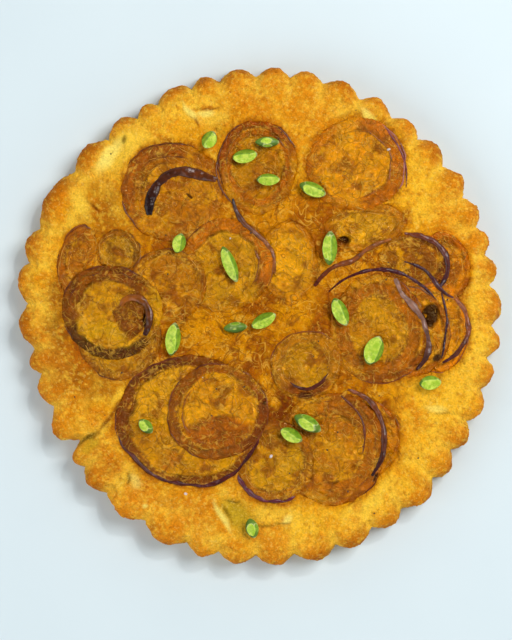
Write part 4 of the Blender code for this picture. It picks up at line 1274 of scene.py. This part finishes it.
def pistachioMaterial():
    # Pistachio: bright green where it is cut, its second cut face painted in shade, darker round its skin
    # side, with cream edges; a painted highlight runs along the ridge between the cut faces, and the cream
    # tips are partly painted highlight
    material, tree, shader = newMaterial("pistachioKernel")
    facet, ridge = attribute(tree, "facet"), attribute(tree, "ridge")
    along, across = attribute(tree, "along"), attribute(tree, "across")
    stripes = noiseAt(tree, 2.2, 3.0, 0.5)
    flesh = blend(tree, "#9CBE26", "#CCDC50", ranged(tree, stripes, 0.38, 0.64, 0, 1))
    shaded = blend(tree, "#5E8A16", "#8FB028", ranged(tree, stripes, 0.35, 0.65, 0, 1))
    skin = blend(tree, "#35580F", "#6E8E22", ranged(tree, plus(tree, across, stripes), -0.4, 1.3, 0, 1))
    # The second cut face is painted in shade
    faces = blend(tree, flesh, shaded, ranged(tree, ridge, -0.04, 0.04, 0, 1, True))
    colour = blend(tree, skin, faces, ranged(tree, facet, -0.02, 0.04, 0, 1, True))
    edge = minus(tree, 1.0, calc(tree, "ABSOLUTE", times(tree, facet, 13.0)))
    edge = times(tree, calc(tree, "MAXIMUM", edge, 0.0),
                ranged(tree, noiseAt(tree, 3.5, 1.0, 0, 4.0), 0.42, 0.60, 0, 0.65))
    colour = blend(tree, colour, "#E6E8A0", edge)
    # Painted highlight along the ridge between the two cut faces
    crest = minus(tree, 1.0, calc(tree, "ABSOLUTE", times(tree, ridge, 8.0)))
    crest = times(tree, calc(tree, "MAXIMUM", crest, 0.0), ranged(tree, facet, 0.0, 0.1, 0, 0.12))
    colour = blend(tree, colour, "#E0E68A", crest)
    # Cream ends, partly the kernel's own colour and partly a painted highlight
    tip = ranged(tree, along, 0.80, 0.99, 0, 0.50, True)
    colour = blend(tree, colour, "#DEDE96", tip)
    vein = ranged(tree, noiseAt(tree, 1.4, 2.0, 0.6, 8.0), 0.60, 0.70, 0, 0.50)
    colour = blend(tree, colour, "#4E6E16", vein)
    raised(tree, shader, stripes, 0.6, 0.5)
    dress(tree, shader, {
        "Base Color": colour, "Roughness": 0.40, "Specular IOR Level": 0.4, "Subsurface Weight": 0.1,
        "Subsurface Radius": (0.6, 1.0, 0.2), "Subsurface Scale": 0.0015})
    return material


def pepperMaterial():
    # Cracked pepper: near black, dull
    material, tree, shader = newMaterial("crackedPepper")
    colour = blend(tree, "#1C0E08", "#4A2614", noiseAt(tree, 0.5))
    dress(tree, shader, {"Base Color": colour, "Roughness": 0.6})
    return material


def saltMaterial():
    # Coarse salt: pinkish white, half clear
    material, tree, shader = newMaterial("coarseSalt")
    colour = blend(tree, "#E9D3CF", "#F6EFEA", noiseAt(tree, 1.0))
    dress(tree, shader, {"Base Color": colour, "Roughness": 0.2, "Transmission Weight": 0.25})
    return material


bakedCrust = crustMaterial()
glazedOnion = onionMaterial()
darkSkin = skinMaterial()
paleFibre = fibreMaterial()


def keep(piece, slot, *nodes):  # hands a finished piece to the frame
    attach(piece, "root")
    if nodes:
        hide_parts(*nodes)


print("crust")
crustSheet = makeCrustSheet()
x, y, z = corners(crustSheet.data)
setShare(crustSheet.data, "rough", (1 - 0.65 * soakedShare(x, y)) * ease((z - 0.2) / 1.5))
crustPiece = runTree(crustSheet, reliefTree(), {
    "Lump Size": crust["swellSize"] / metre, "Lump Height": crust["swellHeight"] / metre,
    "Grain Size": crust["grainSize"] / metre, "Grain Height": crust["grainHeight"] / metre,
    "Fine Size": crust["fineSize"] / metre, "Fine Height": crust["fineHeight"] / metre,
    "Material": bakedCrust})
paintCrust(crustPiece.data)

print("onion slices")
slicePieces = [makeSlice(index, glazedOnion) for index in range(len(slices))]

topPieces = bpy.data.collections.new("tartTop")
graph = bpy.context.evaluated_depsgraph_get()
grounds = []
for piece in [crustPiece, *slicePieces]:
    topPieces.objects.link(piece)
    grounds.append(BVHTree.FromObject(piece, graph))


def landOn(x, y):  # height of the finished top under a point of the tables, in millimetres
    start = Vector(((x - middle[0]) / metre, (y - middle[1]) / metre, 0.1))
    hits = [ground.ray_cast(start, Vector((0, 0, -1)))[0] for ground in grounds]
    return max((hit.z for hit in hits if hit), default=0) * metre


# Loose layers that stand on edge
layers = {
    "halfHeight": 0.95,
    "lift": 0.25,
    "step": 0.9,
    "sides": 14,
    "widthChange": 0.30,
    "changeSize": 4.5,
    "unevenSize": 2.4,
    "unevenHeight": 1.2,
    "tone": 0.5,
    "strips": (  # node, half width, colours of both ends, share of painted lilac sheen, centre line
        ("layer_dark_curl", 2.6, ("#10060A", "#5E2C0E"), 0.4,
         ((-55.6, 51.0), (-55.3, 57.7), (-52.5, 64.8), (-48.4, 69.4), (-43.3, 72.6), (-36.1, 73.0),
          (-28.4, 71.0), (-21.3, 68.9))),
        ("layer_west_comma", 2.0, ("#8E4C12", "#2A0C08"), 0.2,
         ((-70.0, 4.9), (-67.9, 7.9), (-63.3, 9.2), (-58.2, 6.9), (-55.6, 1.8), (-55.6, -4.4),
          (-57.7, -10.0))),
        ("layer_centre_skin", 1.3, ("#2C1518", "#8C4E18"), 0.8,
         ((-13.1, 59.2), (-11.0, 52.5), (-6.9, 46.4), (-0.8, 41.3), (4.9, 35.6), (7.9, 29.0), (7.9, 21.3))),
        ("layer_east_skin", 1.3, ("#521A0C", "#90501A"), 0.2,
         ((28.4, 15.1), (33.1, 20.8), (38.7, 24.9), (47.9, 27.9), (53.0, 32.0), (59.7, 36.1), (67.4, 38.7))),
        ("layer_northeast_arc", 1.4, ("#6A3014", "#3A1820"), 0.8,
         ((74.1, 41.8), (82.8, 40.2), (89.4, 37.2), (94.6, 31.5), (96.1, 24.3), (94.6, 18.2), (91.5, 14.1))),
        ("layer_east_pink", 1.7, ("#8E6654", "#3A120E"), 1.0,
         ((69.4, 18.7), (72.5, 11.5), (77.6, 5.9), (82.8, -1.3), (85.3, -8.5), (86.6, -15.6), (84.8, -21.8),
          (80.2, -27.9))),
        ("layer_far_east_skin", 1.3, ("#8A4A24", "#381418"), 1.2,
         ((99.7, 8.5), (104.3, 3.3), (106.3, -3.8), (106.6, -9.0), (103.8, -14.6), (99.7, -20.2),
          (93.5, -24.0))),
        ("layer_southeast_skin", 1.3, ("#7A3C14", "#2A1014"), 1.0,
         ((45.4, -37.7), (52.0, -40.2), (58.2, -45.4), (62.8, -54.6), (63.8, -63.8), (62.3, -73.0),
          (57.6, -81.3))),
    ),
}


def smoothPath(points, step):  # even points on a smooth curve through the given ones
    knots = [np.array(p, float) for p in (points[0], *points, points[-1])]
    path = []
    for before, start, end, after in zip(knots, knots[1:], knots[2:], knots[3:]):
        pieces = max(1, round(np.linalg.norm(end - start) / step))
        for k in range(pieces):
            t = k / pieces
            path.append(onCurve(before, start, end, after, t))
    path.append(knots[-1])
    return np.array(path)


def pathsMesh(name, paths):  # one wire of (points, half widths, colours of both ends, lilac share, tone)
    points = np.concatenate([path[0] for path in paths])
    edges, start = [], 0
    for path in paths:
        edges += [(start + i, start + i + 1) for i in range(len(path[0]) - 1)]
        start += len(path[0])
    mesh = bpy.data.meshes.new(name)
    mesh.from_pydata(inFrame(points[:, 0], points[:, 1], points[:, 2]) / metre, edges, [])
    setShare(mesh, "halfWidth", np.concatenate([path[1] for path in paths]) / metre)
    stains = [mix(linear(path[2][0]), linear(path[2][1]), np.linspace(0, 1, len(path[0]))) for path in paths]
    setColour(mesh, "stain", np.concatenate(stains))
    setShare(mesh, "lilac", np.concatenate([np.full(len(path[0]), path[3]) for path in paths]))
    setShare(mesh, "tone", np.concatenate([np.full(len(path[0]), path[4]) for path in paths]))
    return addObject(name, mesh)


def evenOut(values, rounds):
    for _ in range(rounds):
        padded = np.concatenate([values[:1], values, values[-1:]])
        values = (padded[:-2] + 2 * padded[1:-1] + padded[2:]) / 4
    return values


def restOn(x, y, lift, rounds=3):  # a line laid this far above the finished top
    height = evenOut(np.array([landOn(px, py) for px, py in zip(x, y)]), rounds) + lift
    return np.column_stack([x, y, height])


print("loose layers")
ribbon = ribbonTree()
for name, halfWidth, codes, lilac, points in layers["strips"]:
    path = smoothPath(points, layers["step"])
    share = np.linspace(0, 1, len(path))
    width = halfWidth * (0.40 + 0.60 * np.sin(math.pi * share) ** 0.5)
    change = softNoise(path[:, 0], path[:, 1], 0, layers["changeSize"], 81)
    width = width * (1 + layers["widthChange"] * change)
    line = restOn(path[:, 0], path[:, 1], layers["lift"])
    wire = pathsMesh(name.replace("layer", "ribbon"), [(line, width, codes, lilac, layers["tone"])])
    piece = runTree(wire, ribbon, {
        "Sides": layers["sides"], "Flatness": layers["halfHeight"] / halfWidth,
        "Uneven Size": layers["unevenSize"] / metre, "Uneven Height": layers["unevenHeight"] / metre,
        "Material": darkSkin})
    keep(piece, "dark_onion_layer", name)

# Thin skins along the slices' edges, and the pale fibres on them
skins = {
    "step": 0.8,
    "lift": 0.05,
    "sides": 7,
    "flatness": 0.55,
    "unevenSize": 1.2,
    "unevenHeight": 0.5,
    "tone": 0.5,
    "widthShare": 0.36,
    "fewestPoints": 6,
    "hiddenBelow": 0.07,
    "leastHalfWidth": 0.05,
    "fibres": 520,
    "fibreTries": 9000,
    "fibreLength": (2.5, 8.0),
    "fibreHalfWidth": 0.11,
    "fibreTaper": (0.4, 0.8, 1, 1, 1, 0.8, 0.4),
    "fibreSides": 5,
    "fibreFlatness": 0.8,
    "fibreLift": 0.03,
    "fibreUneven": (1.0, 0.1),  # size and height
    "fibreColours": ("#D8A24A", "#C88A34"),
    "arcs": (  # thin skins that cross from slice to slice: half width, colours of both ends, centre line
        (0.95, ("#4A1410", "#381420"),
         ((35.6, 12.0), (43.3, 18.2), (53.6, 22.3), (63.8, 23.3), (74.1, 20.8), (84.3, 14.1), (90.5, 7.9))),
        (0.95, ("#2E1220", "#4A1A18"), ((74.1, 27.4), (84.3, 23.3), (91.5, 14.6), (96.1, 10.5), (99.0, 9.0))),
        (0.70, ("#42181C", "#2A1018"), ((93.0, 11.5), (95.6, -0.8), (94.6, -12.6), (93.0, -21.8))),
        (0.60, ("#5A2410", "#6A3214"), ((41.8, -40.7), (51.0, -50.0), (54.0, -60.0), (53.0, -70.0))),
        (0.55, ("#6E3A12", "#5A2A10"), ((-19.7, 82.0), (-21.5, 74.0), (-19.0, 64.5), (-13.5, 57.0))),
        (0.55, ("#7A3A3A", "#5A2414"), ((64.8, 95.0), (71.5, 85.0), (75.0, 75.0), (75.0, 65.0))),
    ),
}


def seenRuns(seen):  # the stretches of a line that show, as lists of its points' numbers
    runs, run = [], []
    for k, shows in enumerate([*seen, False]):
        if shows:
            run.append(k)
            continue
        if len(run) >= skins["fewestPoints"]:
            runs.append(run)
        run = []
    return runs


def edgePaths():
    paths = []
    for index, spec in enumerate(slices):
        for share, width, code, start, end in spec["skins"]:
            span = (end - start) % 360 or 360
            arc = math.radians(span) * sliceRadius(index) * share
            count = max(skins["fewestPoints"], round(arc / skins["step"]))
            angle = np.radians(start + span * np.linspace(0, 1, count))
            rho = (share - 0.012 - 0.02 * softNoise(angle * 4, 0, 0, 1, 63)) * unevenness(index, angle)
            px, py = onSlice(index, rho, angle)
            wide = width * skins["widthShare"] * (1 + 0.6 * softNoise(px, py, 0, 4.5, 82))
            wide = wide * (strength(index, angle, 63) if width < onion["thickSkin"] else 1)
            lilac = 0.8 if width > onion["thickSkin"] else 0.15
            for run in seenRuns((onTop(index, px, py) > 0.5) & (wide > skins["hiddenBelow"])):
                ends = np.minimum(np.arange(len(run)), np.arange(len(run))[::-1])
                half = np.maximum(wide[run] * ease((ends + 0.6) / 5), skins["leastHalfWidth"])
                line = restOn(px[run], py[run], skins["lift"])
                paths.append((line, half, (code, code), lilac, skins["tone"]))
    return paths


def arcPaths():
    paths = []
    for halfWidth, codes, points in skins["arcs"]:
        path = smoothPath(points, skins["step"])
        ends = np.sin(math.pi * np.linspace(0.03, 0.97, len(path))) ** 0.5
        half = halfWidth * ends * (1 + 0.5 * softNoise(path[:, 0], path[:, 1], 0, 4.5, 82))
        paths.append((restOn(path[:, 0], path[:, 1], skins["lift"]), half, codes, 0.9, skins["tone"]))
    return paths


def fibrePaths():
    paths = []
    k = 0
    shortest, longest = skins["fibreLength"]
    taper = np.array(skins["fibreTaper"])
    while len(paths) < skins["fibres"] and k < skins["fibreTries"]:
        k += 1
        r = [float(lattice(k, n, 7, 91)) for n in range(6)]
        index = int(r[0] * len(slices))
        rho, angle = 0.25 + 0.72 * r[1] ** 0.6, r[2] * fullTurn
        length = shortest + r[3] * (longest - shortest)
        sweep = (r[4] * 0.7 + 0.3) * length / (sliceRadius(index) * rho)
        turns = angle + np.linspace(0, sweep, len(taper))
        reach = rho + np.linspace(0, 1, len(taper)) * (r[5] - 0.5) * 0.16
        reach = np.minimum(reach, 0.98) * unevenness(index, turns)
        px, py = onSlice(index, reach, turns)
        if onTop(index, px, py).min() < 0.9:
            continue
        half = skins["fibreHalfWidth"] * (0.6 + 0.8 * r[5]) * taper
        line = restOn(px, py, skins["fibreLift"], 1)
        paths.append((line, half, skins["fibreColours"], 0.0, r[3]))
    return paths


skinPiece = runTree(pathsMesh("skinEdges", edgePaths() + arcPaths()), ribbon, {
    "Sides": skins["sides"], "Flatness": skins["flatness"], "Uneven Size": skins["unevenSize"] / metre,
    "Uneven Height": skins["unevenHeight"] / metre, "Material": darkSkin})
keep(skinPiece, "dark_onion_layer")
fibrePiece = runTree(pathsMesh("paleFibres", fibrePaths()), ribbon, {
    "Sides": skins["fibreSides"], "Flatness": skins["fibreFlatness"],
    "Uneven Size": skins["fibreUneven"][0] / metre, "Uneven Height": skins["fibreUneven"][1] / metre,
    "Material": paleFibre})
keep(fibrePiece, "caramelised_onion")

# Pistachio kernels: x, y, length, width, turn, then how the cut face lies: level, roll, pitch, furrow
kernels = {
    "roundness": 0.58,
    "height": 0.85,
    "sink": 0.25,
    "headroom": 0.2,  # how far each kernel stays below the top of its solid
    "sideAbove": 0.48,  # the second cut face lies this much higher than the first, more or less
    "sideSpread": 0.22,
    "sideRoll": 1.3,
    "leastFurrow": 0.08,
    "grains": (
        (-24.9, 88.9, 9.6, 7.7, 60, 0.35, 0.15, 0.2, 0.05),
        (-6.9, 80.7, 12.8, 7.2, 10, 0.30, 0.30, 0.1, 0.10),
        (4.4, 87.9, 12.3, 5.4, 0, 0.85, -0.20, 0.0, 0.03),
        (4.9, 68.9, 11.8, 6.1, 0, 0.35, 0.45, -0.1, 0.05),
        (27.4, 63.8, 14.3, 7.2, -22, 0.60, 0.40, -0.2, 0.08),
        (36.1, 34.1, 17.4, 7.7, 88, 0.60, -0.35, 0.0, 0.12),
        (-40.2, 36.6, 10.2, 6.7, 75, 0.40, -0.30, 0.2, 0.06),
        (-14.6, 25.9, 19.5, 6.7, -68, 0.45, 0.50, 0.0, 0.06),
        (-43.3, -12.0, 16.9, 7.7, 83, 0.40, -0.45, 0.1, 0.05),
        (-11.7, -6.1, 12.0, 5.6, 5, 1.00, 0.10, 0.1, 0.03),
        (2.6, -2.6, 13.8, 7.0, 28, 0.30, 0.35, 0.1, 0.12),
        (41.3, 1.8, 15.4, 7.7, -65, 0.45, 0.30, 0.0, 0.14),
        (58.2, -17.7, 15.4, 9.7, 68, 0.38, -0.20, 0.0, 0.02),
        (86.9, -34.1, 11.3, 7.2, 5, 0.40, 0.30, -0.1, 0.04),
        (-57.1, -56.1, 9.2, 6.1, -45, 0.70, 0.20, 0.3, 0.03),
        (16.6, -60.6, 12.3, 6.8, -28, 0.35, 0.30, 0.2, 0.12),
        (24.9, -54.6, 15.4, 7.6, -30, 0.75, 0.30, 0.0, 0.05),
        (-3.3, -107.9, 10.2, 6.7, -75, 0.75, 0.20, -0.2, 0.05),
    ),
}

print("pistachio kernels")
greenKernel = pistachioMaterial()
kernelShape = kernelTree()
for number, (kx, ky, length, width, turn, level, roll, pitch, furrow) in enumerate(kernels["grains"], 1):
    seed = addObject(f"kernel_{number:02d}", bpy.data.meshes.new("seed"))
    piece = runTree(seed, kernelShape, {
        "Length": length / metre, "Width": width / metre, "Height": kernels["height"] * width / metre,
        "Roundness": kernels["roundness"], "Cut Level": level, "Cut Roll": roll, "Cut Pitch": pitch,
        "Side Level": level + kernels["sideAbove"] + kernels["sideSpread"] * math.sin(5 * number),
        "Side Roll": -math.copysign(kernels["sideRoll"], roll),
        "Furrow": kernels["leastFurrow"] + furrow, "Material": greenKernel})
    piece.data.transform(Matrix.Rotation(math.radians(turn), 4, "Z"))
    piece.data.transform(Matrix.Translation(((kx - middle[0]) / metre, (ky - middle[1]) / metre, 0)))
    clear = min(v.co.z * metre - landOn(v.co.x * metre + middle[0], v.co.y * metre + middle[1])
                for v in piece.data.vertices if v.co.z < 0)
    piece.data.transform(Matrix.Translation((0, 0, -(clear + kernels["sink"]) / metre)))
    heights = [v.co.z for v in piece.data.vertices]
    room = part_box(f"pistachio_{number:02d}")[1][2] - kernels["headroom"] / metre - min(heights)
    stretch = Matrix.Scale(room / (max(heights) - min(heights)), 4, (0, 0, 1))
    bottom = Vector((0, 0, min(heights)))
    piece.data.transform(Matrix.Translation(bottom) @ stretch @ Matrix.Translation(-bottom))
    keep(piece, "pistachio", f"pistachio_{number:02d}")

# Scattered small things: density per square metre, least and most size in millimetres
scatter = (
    {"name": "crustCrumbs", "share": "crumbShare", "density": 210000, "least": 0.6, "most": 1.7,
     "flatness": 0.80, "sink": 0.25, "seed": 11, "slot": "baked_crust", "look": crumbMaterial()},
    {"name": "sugaredGrains", "share": "lipShare", "density": 500000, "least": 0.4, "most": 0.9,
     "flatness": 0.7, "sink": 0.15, "seed": 12, "slot": "caramelised_onion", "look": paleFibre},
    {"name": "pepperSpecks", "share": "speckShare", "density": 1500, "least": 0.6, "most": 1.3,
     "flatness": 0.6, "sink": 0.1, "seed": 13, "slot": "dark_onion_layer", "look": pepperMaterial()},
    {"name": "saltCrystals", "share": "speckShare", "density": 220, "least": 0.9, "most": 2.2,
     "flatness": 0.7, "sink": 0.2, "seed": 14, "slot": "caramelised_onion", "look": saltMaterial()},
)

print("crumbs, sugar, pepper and salt")
topGrains = scatterTree()
for spec in scatter:
    bare = addObject(spec["name"], bpy.data.meshes.new(spec["name"]))
    piece = runTree(bare, topGrains, {
        "Top": topPieces, "Share Name": spec["share"], "Density": float(spec["density"]),
        "Least": spec["least"] / metre, "Most": spec["most"] / metre, "Flatness": spec["flatness"],
        "Sink": spec["sink"] / metre, "Facets": 1, "Seed": spec["seed"], "Material": spec["look"]})
    print(spec["name"], len(piece.data.polygons))
    keep(piece, spec["slot"])

keep(crustPiece, "baked_crust", "crust")
for piece, spec in zip(slicePieces, slices):
    keep(piece, "caramelised_onion", spec["name"])
bpy.data.collections.remove(topPieces)

print("table, light and camera")


def floorMaterial():
    # Painted board: pale blue-white, matt
    material, tree, shader = newMaterial("palePaintedBoard")
    place = addNode(tree, "ShaderNodeTexCoord").outputs["Object"]
    cloud = addNode(tree, "ShaderNodeTexNoise", {"=Scale": 14.0, "=Detail": 3.0}, {"Vector": place})
    tone = blend(tree, "#D5E1E5", "#DCE7EA", cloud.outputs[0])
    dress(tree, shader, {"Base Color": tone, "Roughness": 0.8})
    return material


studio = {
    "floorSize": 1.6,
    "cameraHeight": 0.9,
    "millimetresPerPixel": 0.5125,
    "pictureHeight": 640,
    "pictureMiddle": (-1.281, -2.306),
    "scalePlane": 0.012,
    "keyPlace": (0.62, 0.34, 1.05),
    "keySize": 0.6,
    "keyPower": 9.3,
    "fillPlace": (-0.75, -0.50, 0.80),
    "fillSize": 1.2,
    "fillPower": 6.0,
    "glintPlace": (0.40, 0.55, 1.00),
    "glintSize": 0.06,
    "glintPower": 2.4,
    "skySide": "#DCE8EE",
    "skyTop": "#30363A",
    "skyStrength": 0.95,
    "ceiling": (0.35, 0.90),  # between which heights in the sky it darkens
    "sensorWidth": 36,
}

bpy.ops.mesh.primitive_plane_add(size=studio["floorSize"], location=(0, 0, 0))
table = bpy.context.object
table.name = "tableTop"
table.data.materials.append(floorMaterial())


def softLight(name, place, size, power):
    light = bpy.data.lights.new(name, "AREA")
    light.shape = "DISK"
    light.size = size
    light.energy = power
    obj = addObject(name, light)
    obj.location = place
    obj.rotation_euler = (-Vector(place)).to_track_quat("-Z", "Y").to_euler()


softLight("windowLight", studio["keyPlace"], studio["keySize"], studio["keyPower"])
softLight("fillLight", studio["fillPlace"], studio["fillSize"], studio["fillPower"])
softLight("glintLight", studio["glintPlace"], studio["glintSize"], studio["glintPower"])

# A pale room with a darker ceiling, so that glossy syrup seen from above doesn't turn milky
world = bpy.data.worlds.new("studioRoom")
world.use_nodes = True
sky = world.node_tree
direction = addNode(sky, "ShaderNodeTexCoord").outputs["Generated"]
upward = addNode(sky, "ShaderNodeSeparateXYZ", {}, {0: direction}).outputs[2]
ceiling = ranged(sky, upward, *studio["ceiling"], 0, 1, True)
dress(sky, sky.nodes["Background"], {
    "Color": blend(sky, studio["skySide"], studio["skyTop"], ceiling), "Strength": studio["skyStrength"]})
bpy.context.scene.world = world
bpy.context.scene.view_settings.view_transform = "Standard"
bpy.context.scene.view_settings.look = "None"

camera = bpy.data.cameras.new("overheadCamera")
distance = studio["cameraHeight"] - studio["scalePlane"]
viewHeight = studio["millimetresPerPixel"] * studio["pictureHeight"] / metre
camera.sensor_width = studio["sensorWidth"]
camera.lens = studio["sensorWidth"] * distance / viewHeight
camera.clip_start, camera.clip_end = 0.05, 10
cameraObject = addObject("overheadCamera", camera)
cameraObject.location = ((studio["pictureMiddle"][0] - middle[0]) / metre,
                         (studio["pictureMiddle"][1] - middle[1]) / metre, studio["cameraHeight"])
bpy.context.scene.camera = cameraObject
